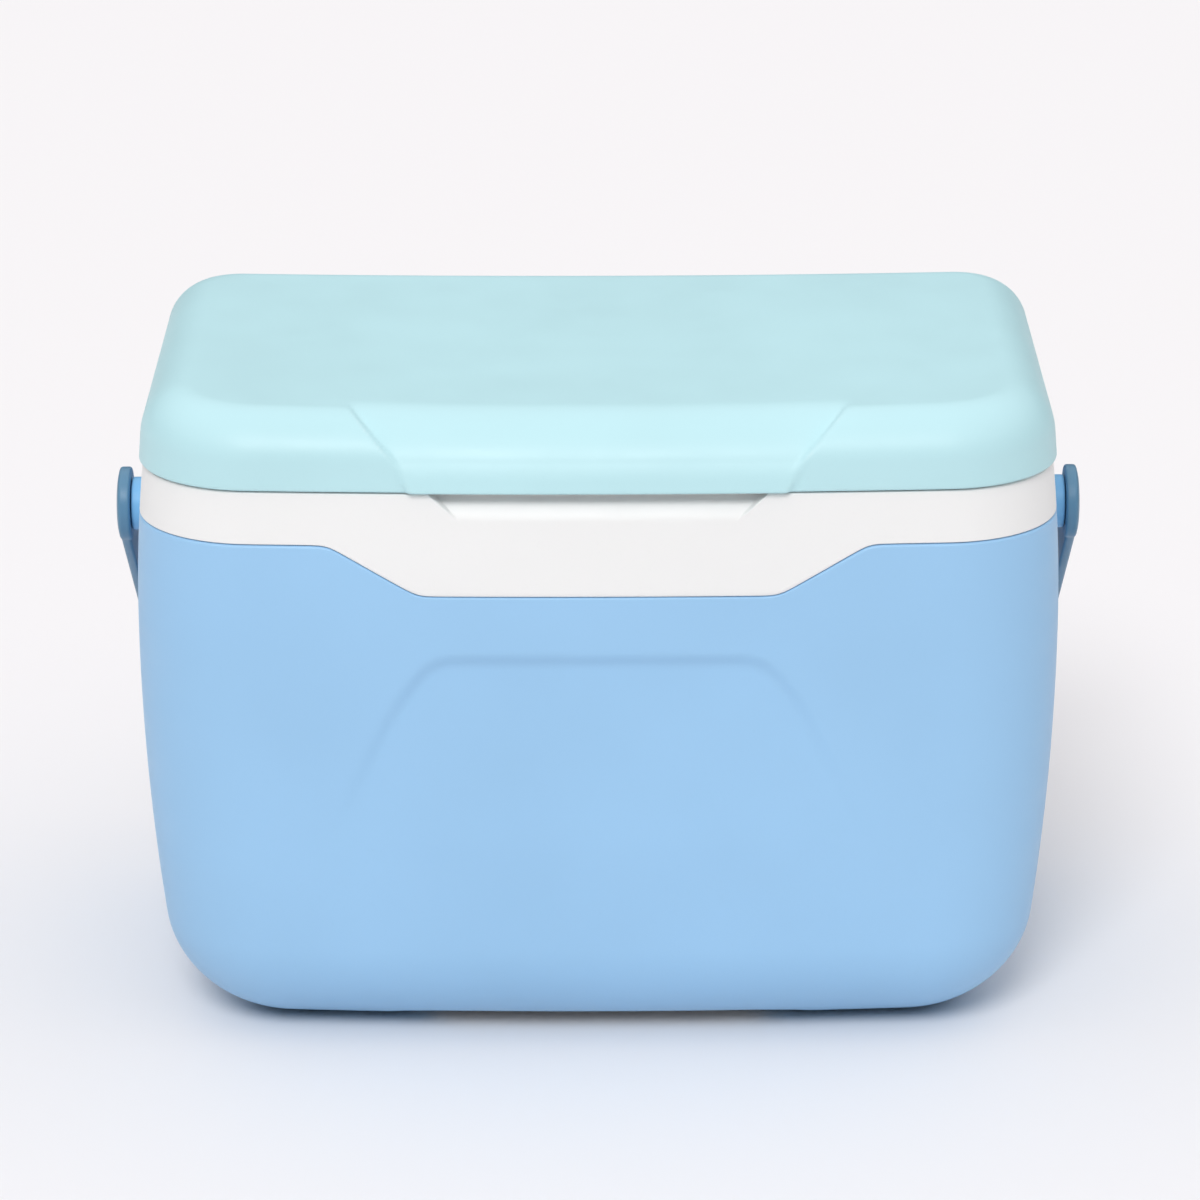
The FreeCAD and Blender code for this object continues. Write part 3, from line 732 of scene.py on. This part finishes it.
def make_collar_and_tub():
    """The collar, the raised lip round the mouth and the tub, as one moulding."""
    under_z = COLLAR_Z - LINER_WALL
    outer_floor_z = TUB_FLOOR_Z - LINER_WALL
    middle_inset = 70 * MM
    below = rounded_path((
        (middle_inset, outer_floor_z, 0, 10 * MM),
        (tub_inset(outer_floor_z, LINER_WALL), outer_floor_z, TUB_FILLET + LINER_WALL, 5 * MM),
        (tub_inset(under_z, LINER_WALL), under_z, 1.5 * MM, 12 * MM),
        (COLLAR_WALL + 0.8 * MM, under_z, 0, 4 * MM),
    ))
    wall = rounded_path((
        (COLLAR_WALL, under_z - 0.8 * MM, 0, 2 * MM),
        (COLLAR_WALL, SEAM_Z + SEAM_GAP, 0.3 * MM, 1.5 * MM),
        (0, SEAM_Z + SEAM_GAP, 0.7 * MM, 1 * MM),
        (0, COLLAR_Z, 1 * MM, 0.75 * MM),
        (LIP_INSET, COLLAR_Z, 0.9 * MM, 3 * MM),
        (LIP_INSET, LIP_Z, 1.8 * MM, 2 * MM),
        (TUB_INSET, LIP_Z, 2.4 * MM, 2 * MM),
        (tub_inset(TUB_FLOOR_Z, 0), TUB_FLOOR_Z, TUB_FILLET, 6 * MM),
        (middle_inset, TUB_FLOOR_Z, 0, 10 * MM),
    ))

    def half_of(z, inset):
        return half_width(np.minimum(z, COLLAR_Z)) if inset < 2.5 * MM else 0 * z + RIM_HALF

    hidden = rings_of(below, half_of, None,
                      lambda ring, inset: pocket_relief(ring, inset, tub_inset(under_z, LINER_WALL)))
    shown = rings_of(wall, half_of, collar_bend,
                     lambda ring, inset: pocket_relief(ring, inset, LIP_INSET))
    lines = grid_lines(WIDEST, 8 * MM)
    under = fill(hidden[0], lines, lines, lambda x, y: 0 * x + outer_floor_z)
    floor = fill(shown[-1], lines, lines, lambda x, y: 0 * x + TUB_FLOOR_Z)
    collar = new_object("collar_and_tub", closed(np.concatenate([hidden, shown]), under, floor))
    return finished(collar, "chest", "collar_white", WHITE, "inner_liner")


# --- lid ---

def lid_half(z, inset=0):
    """Half-width of the lid's outside at a height."""
    return LID_HALF - LID_DRAFT * (z - LID_Z)


def lid_sag(x):
    """How far the lid's top hangs below its corners."""
    reach = LID_HALF - LID_SHOULDER
    return LID_SAG * np.clip(1 - (x / reach) ** 2, 0, 1)


def finger_lip(x, y, z):
    """How far the lower part of the front panel leans out."""
    height = np.clip((z - LID_Z) / FINGER_LIP_TALL, 0, 1)
    end = FINGER_LIP_BOTTOM_X + (FINGER_LIP_TOP_X - FINGER_LIP_BOTTOM_X) * height
    within = 1 - smooth(np.abs(x), end - CREASE_EDGE, end + CREASE_EDGE)
    return np.where(y < DIP_BACK_Y, FINGER_LIP_OUT * (1 - height) * within, 0)


def lid_relief(ring, inset, wall):
    """Gives the front's middle panel its wider shoulder, and lets the top sag."""
    x, y, z = ring.T
    top = LID_TOP_Z - wall
    radius = PANEL_SHOULDER - wall
    centre_z = LID_TOP_Z - PANEL_SHOULDER
    out = PANEL_SHOULDER - inset
    up = np.maximum(z - centre_z, 0)
    far = np.hypot(out, up)
    pull = np.where((out > 0) & (far > radius), 1 - radius / np.maximum(far, radius), 0)
    height = (z - centre_z) / PANEL_SHOULDER
    share = 0.74 * height + 0.26 * inset / PANEL_SHOULDER
    crease = CREASE_BOTTOM_X + (CREASE_TOP_X - CREASE_BOTTOM_X) * share
    within = 1 - smooth(np.abs(x), crease - CREASE_EDGE, crease + CREASE_EDGE)
    moved = np.where(y < DIP_BACK_Y, pull * within, 0)
    y = y + moved * out
    z = z - moved * up
    if wall == 0:
        y = y - finger_lip(x, y, z)
    z = z - lid_sag(x) * smooth(z, top - LID_SHOULDER, top)
    return np.stack([x, y, z], axis=1)


def make_lid_shell():
    """The aqua lid, hollow underneath."""
    middle_inset = 60 * MM
    ceiling = LID_TOP_Z - LID_WALL
    within = rounded_path((
        (middle_inset, ceiling, 0, 10 * MM),
        (LID_WALL, ceiling, LID_SHOULDER - LID_WALL, 3 * MM),
        (LID_WALL, LID_Z, 0, 4 * MM),
    ))
    outside = rounded_path((
        (LID_WALL - 0.4 * MM, LID_Z, 0, 1 * MM),
        (0, LID_Z, 1.4 * MM, 0.4 * MM),
        (0, LID_TOP_Z, LID_SHOULDER, 1.1 * MM),
        (middle_inset, LID_TOP_Z, 0, 3 * MM),
    ))
    inner = rings_of(within, lid_half, None, lambda ring, inset: lid_relief(ring, inset, LID_WALL))
    outer = rings_of(outside, lid_half, None, lambda ring, inset: lid_relief(ring, inset, 0))
    lines = grid_lines(WIDEST, 7 * MM)
    under = fill(inner[0], lines, lines, lambda x, y: ceiling - lid_sag(x))
    top = fill(outer[-1], lines, lines, lambda x, y: LID_TOP_Z - lid_sag(x))
    lid = new_object("lid_shell_moulding", closed(np.concatenate([inner, outer]), under, top))
    return finished(lid, "lid", "lid_aqua", AQUA, "lid_shell")


def make_lid_plug():
    """The white panel under the lid: a flange, a groove for the lip, and a plug with a sunk field."""
    top = GROOVE_Z + LINER_WALL
    field_z = PLUG_Z + FIELD_DEEP
    middle_inset = 75 * MM
    rim_parts = rounded_path((
        (middle_inset, field_z, 0, 10 * MM),
        (FIELD_INSET, field_z, 1.2 * MM, 6 * MM),
        (FIELD_INSET - 1.5 * MM, PLUG_Z, 1.2 * MM, 2 * MM),
        (PLUG_INSET, PLUG_Z, 3.5 * MM, 3 * MM),
        (PLUG_INSET, GROOVE_Z, 0.8 * MM, 2.5 * MM),
        (GROOVE_INSET, GROOVE_Z, 0.8 * MM, 2.5 * MM),
        (GROOVE_INSET, FLANGE_Z, 0.6 * MM, 1.5 * MM),
        (GROOVE_INSET - 3 * MM, FLANGE_Z, 0, 2 * MM),
    ))
    flange = rounded_path((
        (GROOVE_INSET - 4 * MM, FLANGE_Z, 0, 2 * MM),
        (FLANGE_INSET, FLANGE_Z, 0.8 * MM, 2 * MM),
        (FLANGE_INSET, FLANGE_Z + LINER_WALL, 0.6 * MM, 2 * MM),
        (GROOVE_INSET - 3.6 * MM, FLANGE_Z + LINER_WALL, 0, 2 * MM),
    ))
    above = rounded_path((
        (GROOVE_INSET - LINER_WALL, FLANGE_Z + LINER_WALL, 0.4 * MM, 2 * MM),
        (GROOVE_INSET - LINER_WALL, top, 0.6 * MM, 2 * MM),
        (PLUG_INSET + LINER_WALL, top, 0.6 * MM, 4 * MM),
        (PLUG_INSET + LINER_WALL, PLUG_Z + LINER_WALL, 2 * MM, 4 * MM),
        (middle_inset, PLUG_Z + LINER_WALL + FIELD_DEEP, 0, 10 * MM),
    ))

    def rim_half(z, inset):
        return 0 * z + RIM_HALF

    def flange_half(z, inset):
        return 0 * z + LID_HALF

    rings = np.concatenate([
        rings_of(rim_parts, rim_half), rings_of(flange, flange_half), rings_of(above, rim_half)])
    lines = grid_lines(WIDEST, 8 * MM)
    under = fill(rings[0], lines, lines, lambda x, y: 0 * x + field_z)
    pan = fill(rings[-1], lines, lines, lambda x, y: 0 * x + PLUG_Z + LINER_WALL + FIELD_DEEP)
    plug = new_object("lid_plug", closed(rings, under, pan))
    return finished(plug, "lid", "collar_white", WHITE, "lid_liner")


# --- handle ---

def turned(path, y, z, segments=72, side=1, loop=False):
    """A body of revolution about a line along X. path gives (x, radius)."""
    angles = np.arange(segments) * 2 * math.pi / segments
    rings = []
    for x, radius in path:
        rings.append(np.stack([np.full(segments, side * x), y + radius * np.cos(angles),
                               z + radius * np.sin(angles)], axis=1))
    return tube(np.array(rings), loop)


def hung(flat):
    """Turns points given as (x, out along the arm, across the strap) to the handle's rest place."""
    x, out, across = flat[..., 0], flat[..., 1], flat[..., 2]
    y = out * math.cos(REST_ANGLE) + across * math.sin(REST_ANGLE)
    z = -out * math.sin(REST_ANGLE) + across * math.cos(REST_ANGLE)
    return np.stack([x, y + PIVOT_AT.y, z + PIVOT_AT.z], axis=-1)


def strap_line(depth):
    """The strap's line at a depth under its outer face, as (x, out) from the left hub to the right."""
    half = HUB_OUT_X - ARM_BELOW_HUB
    middle = half - BAIL_CORNER
    reach = BAIL_REACH - BAIL_CORNER
    arm = [(-(half - depth), out) for out in np.linspace(12 * MM, reach, 30)]
    angles = np.linspace(math.pi, math.pi / 2, 17)[1:]
    radius = BAIL_CORNER - depth
    turn = [(-middle + radius * math.cos(a), reach + radius * math.sin(a)) for a in angles]
    across = [(x, BAIL_REACH - depth) for x in np.linspace(-middle, 0, 24)[1:]]
    left = np.array(arm + turn + across)
    right = left[-2::-1] * (-1, 1)
    return np.concatenate([left, right])


def strap():
    """The flat strap of the bail, from hub to hub."""
    edge = 1.5 * MM
    half = ARM_WIDTH / 2
    section = rounded_path((
        (0, 0, 0, 5 * MM), (0, half, edge, 5 * MM), (ARM_THICK, half, edge, 5 * MM),
        (ARM_THICK, -half, edge, 5 * MM), (0, -half, edge, 5 * MM), (0, 0, 0, 5 * MM),
    ), 22.5)[:-1]
    lines = [np.column_stack([strap_line(depth), np.full(len(strap_line(depth)), across)])
             for depth, across in section]
    return tube(hung(np.stack(lines, axis=1)))


def grip():
    """A squared hand grip round the strap, with shallow finger waves on its inner side."""
    middle = (GRIP_IN + GRIP_OUT) / 2
    thick = (GRIP_OUT - GRIP_IN) / 2
    columns = 40
    angles = np.arange(columns) * 2 * math.pi / columns
    c, s = np.cos(angles), np.sin(angles)
    squared = (np.abs(c) ** GRIP_SQUARENESS + np.abs(s) ** GRIP_SQUARENESS) ** (-1 / GRIP_SQUARENESS)
    right = spread(((GRIP_HALF - GRIP_END, 2.5 * MM), (GRIP_HALF, 0.8 * MM)))
    sections = []
    for x in np.concatenate([-right[:0:-1], right]):
        past = max(0.0, abs(x) - (GRIP_HALF - GRIP_END)) / GRIP_END
        size = math.sqrt(max(0.0, 1 - past ** 2)) * 0.22 + 0.78
        wave = GRIP_WAVE * (1 - math.cos(2 * math.pi * x / GRIP_PITCH)) / 2 * (1 - min(1.0, past * 2))
        out = thick * size * c * squared
        out = np.where(c < 0, out + wave * np.abs(c), out)
        across = GRIP_WIDTH / 2 * (0.8 + 0.2 * size) * s * squared
        sections.append(np.column_stack([np.full(columns, x), middle + out, across]))
    return tube(hung(np.array(sections)))


def hub(side):
    """A round hub with a bore for the pin and a recess for its head."""
    recess_r = PIN_HEAD_R + 0.3 * MM
    recess_x = PIN_HEAD_X - 0.35 * MM
    bore = PIN_R + RUNNING
    middle_x = (HUB_IN_X + recess_x) / 2
    path = rounded_path((
        (middle_x, bore, 0, 3 * MM),
        (HUB_IN_X, bore, 0.4 * MM, 3 * MM),
        (HUB_IN_X, HUB_R, 1.2 * MM, 4 * MM),
        (HUB_OUT_X - HUB_DOME, HUB_R, 1.6 * MM, 3 * MM),
        (HUB_OUT_X - 0.25 * HUB_DOME, (HUB_R + recess_r) / 2, 12 * MM, 1 * MM),
        (HUB_OUT_X, recess_r, 0.4 * MM, 3 * MM),
        (recess_x, recess_r, 0.2 * MM, 3 * MM),
        (recess_x, bore, 0.2 * MM, 3 * MM),
        (middle_x, bore, 0, 3 * MM),
    ))[:-1]
    return turned(path, PIVOT_AT.y, PIVOT_AT.z, 96, side, loop=True)


def make_handle():
    """The bail: strap, hubs and grip as one moulding."""
    handle = outward(new_object("bail", strap()))
    for tool in (hub(-1), hub(1), grip()):
        boolean(handle, tool, "UNION")
    crisp(handle, 40)
    return finished(handle, "handle", "handle_blue", HANDLE_BLUE, "bail_handle")


def make_mount(side, name):
    """A round boss between the body and the hub, with its spigot through the wall."""
    bore = PIN_R + RUNNING
    foot_x = WIDEST - 1.2 * MM
    middle_x = 215 * MM
    path = rounded_path((
        (middle_x, bore, 0, 6 * MM),
        (SPIGOT_IN_X, bore, 0.3 * MM, 6 * MM),
        (SPIGOT_IN_X, SPIGOT_R, 0.8 * MM, 4 * MM),
        (foot_x, SPIGOT_R, 0, 6 * MM),
        (foot_x, MOUNT_R + 0.6 * MM, 0.2 * MM, 4 * MM),
        (foot_x + 2.6 * MM, MOUNT_R, 2 * MM, 3 * MM),
        (MOUNT_OUT_X, MOUNT_R, 1.2 * MM, 3 * MM),
        (MOUNT_OUT_X, bore, 0.3 * MM, 4 * MM),
        (middle_x, bore, 0, 6 * MM),
    ))[:-1]
    made = turned(path, PIVOT_AT.y, PIVOT_AT.z, 96, side, loop=True)
    mount = crisp(outward(new_object("pivot_boss_" + name, made)))
    return finished(mount, "chest", "mount_blue", MOUNT_BLUE, "handle_mount_" + name)


def make_pin(side, name):
    """A pivot pin whose slightly domed head is flush in the hub."""
    dome = 0.5 * MM
    path = rounded_path((
        (SPIGOT_IN_X, 1 * MM, 0, 4 * MM),
        (SPIGOT_IN_X, PIN_R, 0.6 * MM, 4 * MM),
        (PIN_HEAD_X, PIN_R, 0.2 * MM, 6 * MM),
        (PIN_HEAD_X, PIN_HEAD_R, 0.2 * MM, 3 * MM),
        (PIN_END_X - dome, PIN_HEAD_R, 0.4 * MM, 3 * MM),
        (PIN_END_X - 0.1 * MM, 4.2 * MM, 3 * MM, 2 * MM),
        (PIN_END_X, 1 * MM, 0, 2 * MM),
    ))
    pin = crisp(outward(new_object("pivot_pin_" + name, turned(path, PIVOT_AT.y, PIVOT_AT.z, 72, side))))
    return finished(pin, "chest", "handle_blue", HANDLE_BLUE, "handle_pin_" + name)


# --- hinges ---

def plate(x0, x1, z0, z1, y0, y1, corner, edge):
    """A flat plate with round corners, whose face at y1 has a rounded edge."""
    def ring(shrink, y):
        outline = rounded_path((
            ((x0 + x1) / 2, z0 + shrink, 0, 9), (x1 - shrink, z0 + shrink, corner, 9),
            (x1 - shrink, z1 - shrink, corner, 9), (x0 + shrink, z1 - shrink, corner, 9),
            (x0 + shrink, z0 + shrink, corner, 9), ((x0 + x1) / 2, z0 + shrink, 0, 9),
        ))[:-1]
        return np.column_stack([outline[:, 0], np.full(len(outline), y), outline[:, 1]])
    layers = [ring(0, y0), ring(0, y1 - 2 * edge)]
    for angle in np.linspace(0, math.pi / 2, 5):
        layers.append(ring(edge * (1 - math.cos(angle)), y1 - edge * (1 - math.sin(angle))))
    return tube(np.array(layers))


def knuckle_spans(side, first):
    """Ends along X of every second knuckle of a hinge."""
    pitch = 2 * HINGE_HALF / KNUCKLES
    start = side * HINGE_X - HINGE_HALF
    return [(start + n * pitch + KNUCKLE_GAP / 2, start + (n + 1) * pitch - KNUCKLE_GAP / 2)
            for n in range(first, KNUCKLES, 2)]


def barrel(x0, x1):
    """A knuckle with a bore for the pin and softened ends."""
    bore = HINGE_PIN_R + RUNNING
    path = rounded_path((
        ((x0 + x1) / 2, bore, 0, 9), (x0, bore, 0.2 * MM, 9), (x0, KNUCKLE_R, 0.5 * MM, 9),
        (x1, KNUCKLE_R, 0.5 * MM, 9), (x1, bore, 0.2 * MM, 9), ((x0 + x1) / 2, bore, 0, 9),
    ))[:-1]
    return turned(path, HINGE_AT.y, HINGE_AT.z, 48, loop=True)


def web(x0, x1, section):
    """The part of a leaf that reaches a knuckle: a section in Y and Z, drawn along X."""
    rings = [np.array([(x, y, z) for y, z in section]) for x in (x0, x1)]
    return tube(np.array(rings))


def along_y(made, x, z):
    """Turns a body made along X so that it lies along Y, at x and z."""
    points, faces = made
    return np.column_stack([x + points[:, 1], points[:, 0], z + points[:, 2]]), faces


def screw_places(side):
    """Places along X of the two screws in a leaf."""
    return [side * HINGE_X - SCREW_X, side * HINGE_X + SCREW_X]


def hinge_leaf(name, side, body, node, low, high, first, web_section, screw_z):
    """A hinge leaf: plate, webs and knuckles as one moulding, with screw holes."""
    middle = side * HINGE_X
    wall_y = web_section[0][0]
    leaf = outward(new_object(name, plate(
        middle - HINGE_HALF, middle + HINGE_HALF, low, high[0], wall_y, high[1], 2.5 * MM, 0.6 * MM)))
    for x0, x1 in knuckle_spans(side, first):
        boolean(leaf, web(x0 + 0.1 * MM, x1 - 0.1 * MM, web_section), "UNION")
        boolean(leaf, barrel(x0, x1), "UNION")
    for x in screw_places(side):
        hole = turned(((wall_y - 1 * MM, SCREW_R + RUNNING), (high[1] + 1 * MM, SCREW_R + RUNNING)), 0, 0, 40)
        boolean(leaf, along_y(hole, x, screw_z), "DIFFERENCE")
    crisp(leaf, 30)
    return finished(leaf, body, "hinge_white", HINGE_WHITE, node)


def rear_y(half):
    """Where a rear wall stands, for a half-width."""
    return half - LESS[1]


def make_collar_leaf(side, name):
    """The hinge leaf on the collar, with knuckles 1, 3 and 5."""
    wall_y = float(rear_y(half_width(leaf_low.z))) - 1.0 * MM
    web_section = (
        (wall_y, COLLAR_WEB_Z), (COLLAR_FACE_Y - 0.1 * MM, COLLAR_WEB_Z),
        (HINGE_AT.y + 3.2 * MM, HINGE_AT.z - 1.6 * MM),
        (HINGE_AT.y - 3.0 * MM, HINGE_AT.z - 1.2 * MM), (wall_y, COLLAR_Z - 0.3 * MM),
    )
    return hinge_leaf("collar_leaf_" + name, side, "chest", "collar_hinge_leaf_" + name,
                      leaf_low.z, (COLLAR_FACE_TOP_Z, COLLAR_FACE_Y), 0, web_section, COLLAR_SCREW_Z)


def make_lid_leaf(side, name):
    """The hinge leaf on the lid, with knuckles 2 and 4."""
    wall_y = float(rear_y(lid_half(flap_high.z))) - 0.8 * MM
    foot_y = float(rear_y(lid_half(LID_Z))) - 0.3 * MM
    web_section = (
        (foot_y, LID_Z + 0.3 * MM), (HINGE_AT.y - 2.4 * MM, LID_Z + 0.3 * MM),
        (HINGE_AT.y + 2.9 * MM, HINGE_AT.z + 2.0 * MM), (LID_FACE_Y - 0.1 * MM, LID_WEB_Z),
        (foot_y, LID_WEB_Z),
    )
    return hinge_leaf("lid_leaf_" + name, side, "lid", "lid_hinge_leaf_" + name,
                      LID_FACE_LOW_Z, (flap_high.z, LID_FACE_Y), 1, web_section, LID_SCREW_Z)


def make_hinge_pin(side, name):
    """A steel rod through a hinge's knuckles."""
    start = side * HINGE_X - HINGE_HALF
    path = rounded_path((
        (start, 0.6 * MM, 0, 9), (start, HINGE_PIN_R, 0.4 * MM, 9),
        (start + 2 * HINGE_HALF, HINGE_PIN_R, 0.4 * MM, 9), (start + 2 * HINGE_HALF, 0.6 * MM, 0, 9)))
    pin = crisp(outward(new_object("hinge_rod_" + name, turned(path, HINGE_AT.y, HINGE_AT.z, 32))))
    return finished(pin, "chest", "steel", STEEL, "hinge_pin_" + name)


def screw(x, z, face_y):
    """A pan-head screw with a cross recess, pointing into the rear wall."""
    tip = face_y + SCREW_HEAD - SCREW_LENGTH
    crown = face_y + SCREW_HEAD
    path = rounded_path((
        (tip, 0.5 * MM, 0, 9), (tip + 1.2 * MM, SCREW_R, 0.4 * MM, 9),
        (face_y, SCREW_R, 0.1 * MM, 9), (face_y, SCREW_HEAD_R, 0.1 * MM, 9),
        (crown - 0.9 * MM, SCREW_HEAD_R, 0.3 * MM, 9), (crown, SCREW_HEAD_R - 0.9 * MM, 0.9 * MM, 0.3 * MM),
        (crown, 0.7 * MM, 0, 9)))
    body = outward(new_object("screw", along_y(turned(path, 0, 0, 40), x, z)))
    for wide, tall in ((1.7 * MM, 0.42 * MM), (0.42 * MM, 1.7 * MM)):
        deep = crown - 0.9 * MM
        rings = []
        for y, grow in ((deep, 0.7), (crown + 1 * MM, 1.15)):
            rings.append([(x + a * wide * grow, y, z + b * tall * grow)
                          for a, b in ((-1, -1), (1, -1), (1, 1), (-1, 1))])
        boolean(body, tube(np.array(rings)), "DIFFERENCE")
    points = np.array([v.co for v in body.data.vertices])
    faces = [tuple(p.vertices) for p in body.data.polygons]
    bpy.data.objects.remove(body)
    return points, faces


def make_screws(name, body, node, z, face_y):
    """The four screws of the left and right leaves, as one group."""
    places = screw_places(-1) + screw_places(1)
    group = crisp(new_object(name, merged([screw(x, z, face_y) for x in places])), 30)
    return finished(group, body, "steel", STEEL, node)


# --- the object ---

make_body_shell()
make_collar_and_tub()
make_lid_shell()
make_lid_plug()
make_handle()
for side, name in ((-1, "left"), (1, "right")):
    make_mount(side, name)
    make_pin(side, name)
    make_collar_leaf(side, name)
    make_lid_leaf(side, name)
    make_hinge_pin(side, name)
make_screws("collar_screws", "chest", "collar_hinge_screws", COLLAR_SCREW_Z, COLLAR_FACE_Y)
make_screws("lid_screws", "lid", "lid_hinge_screws", LID_SCREW_Z, LID_FACE_Y)
for node in ("body_foam", "lid_foam"):
    foam = frame["nodes"][node]
    foam.data.materials.clear()
    foam.data.materials.append(FOAM)


# --- stage, light and camera ---

FLOOR_REACH = 9.0
FLOOR_COLOUR = (0.875, 0.86, 0.865)
WORLD_COLOUR = (0.995, 0.985, 1.0)
WORLD_LOW = 0.05
WORLD_HIGH = 1.0
SUN_ELEVATION = 44
SUN_AZIMUTH = -10
SUN_STRENGTH = 1.37
SUN_SOFTNESS = 22
LENS = 160.35
CAMERA_AT = (0.0008, -2.4952, 1.0432)
CAMERA_DOWN = math.radians(19.03)
CAMERA_ROLL = -0.0026


def make_floor():
    """A plain pale floor that also fills the background."""
    signs = ((-1, -1), (1, -1), (1, 1), (-1, 1))
    corners = [(a * FLOOR_REACH, b * FLOOR_REACH, 0) for a, b in signs]
    floor = new_object("floor", (np.array(corners), [(0, 1, 2, 3)]))
    nodes = Nodes("floor_paper")
    nodes.shader.inputs["Base Color"].default_value = (*FLOOR_COLOUR, 1)
    nodes.shader.inputs["Roughness"].default_value = 0.85
    nodes.shader.inputs["Specular IOR Level"].default_value = 0.1
    floor.data.materials.append(nodes.material)


def make_sun(name, elevation, azimuth, strength, softness):
    """A wide soft light from far off: elevation above the floor, azimuth from the front to the right."""
    lamp = bpy.data.lights.new(name, "SUN")
    lamp.energy = strength
    lamp.angle = math.radians(softness)
    obj = bpy.data.objects.new(name, lamp)
    bpy.context.scene.collection.objects.link(obj)
    obj.rotation_euler = (math.radians(90 - elevation), 0, math.radians(azimuth))


def make_world(colour, low, high):
    """An even studio light, weaker near the horizon than overhead."""
    world = bpy.data.worlds.new("studio")
    world.use_nodes = True
    tree = world.node_tree
    background = tree.nodes["Background"]
    background.inputs["Color"].default_value = (*colour, 1)
    place = tree.nodes.new("ShaderNodeTexCoord").outputs["Generated"]
    split = tree.nodes.new("ShaderNodeSeparateXYZ")
    tree.links.new(place, split.inputs["Vector"])
    ramp = tree.nodes.new("ShaderNodeMapRange")
    ramp.interpolation_type = "SMOOTHSTEP"
    for name, value in (("From Min", 0.25), ("From Max", 0.68), ("To Min", low), ("To Max", high)):
        ramp.inputs[name].default_value = value
    tree.links.new(split.outputs["Z"], ramp.inputs["Value"])
    tree.links.new(ramp.outputs["Result"], background.inputs["Strength"])
    bpy.context.scene.world = world


def make_camera():
    """The camera stands in front of the chest, a little above it, with a long lens."""
    data = bpy.data.cameras.new("camera")
    data.sensor_width = 36
    data.lens = LENS
    camera = bpy.data.objects.new("camera", data)
    bpy.context.scene.collection.objects.link(camera)
    tilt = Matrix.Rotation(math.pi / 2 - CAMERA_DOWN, 4, "X")
    roll = Matrix.Rotation(CAMERA_ROLL, 4, "Z")
    camera.matrix_world = Matrix.Translation(CAMERA_AT) @ tilt @ roll
    bpy.context.scene.camera = camera


make_floor()
make_world(WORLD_COLOUR, WORLD_LOW, WORLD_HIGH)
make_sun("key", SUN_ELEVATION, SUN_AZIMUTH, SUN_STRENGTH, SUN_SOFTNESS)
make_camera()
bpy.context.scene.view_settings.view_transform = "Standard"
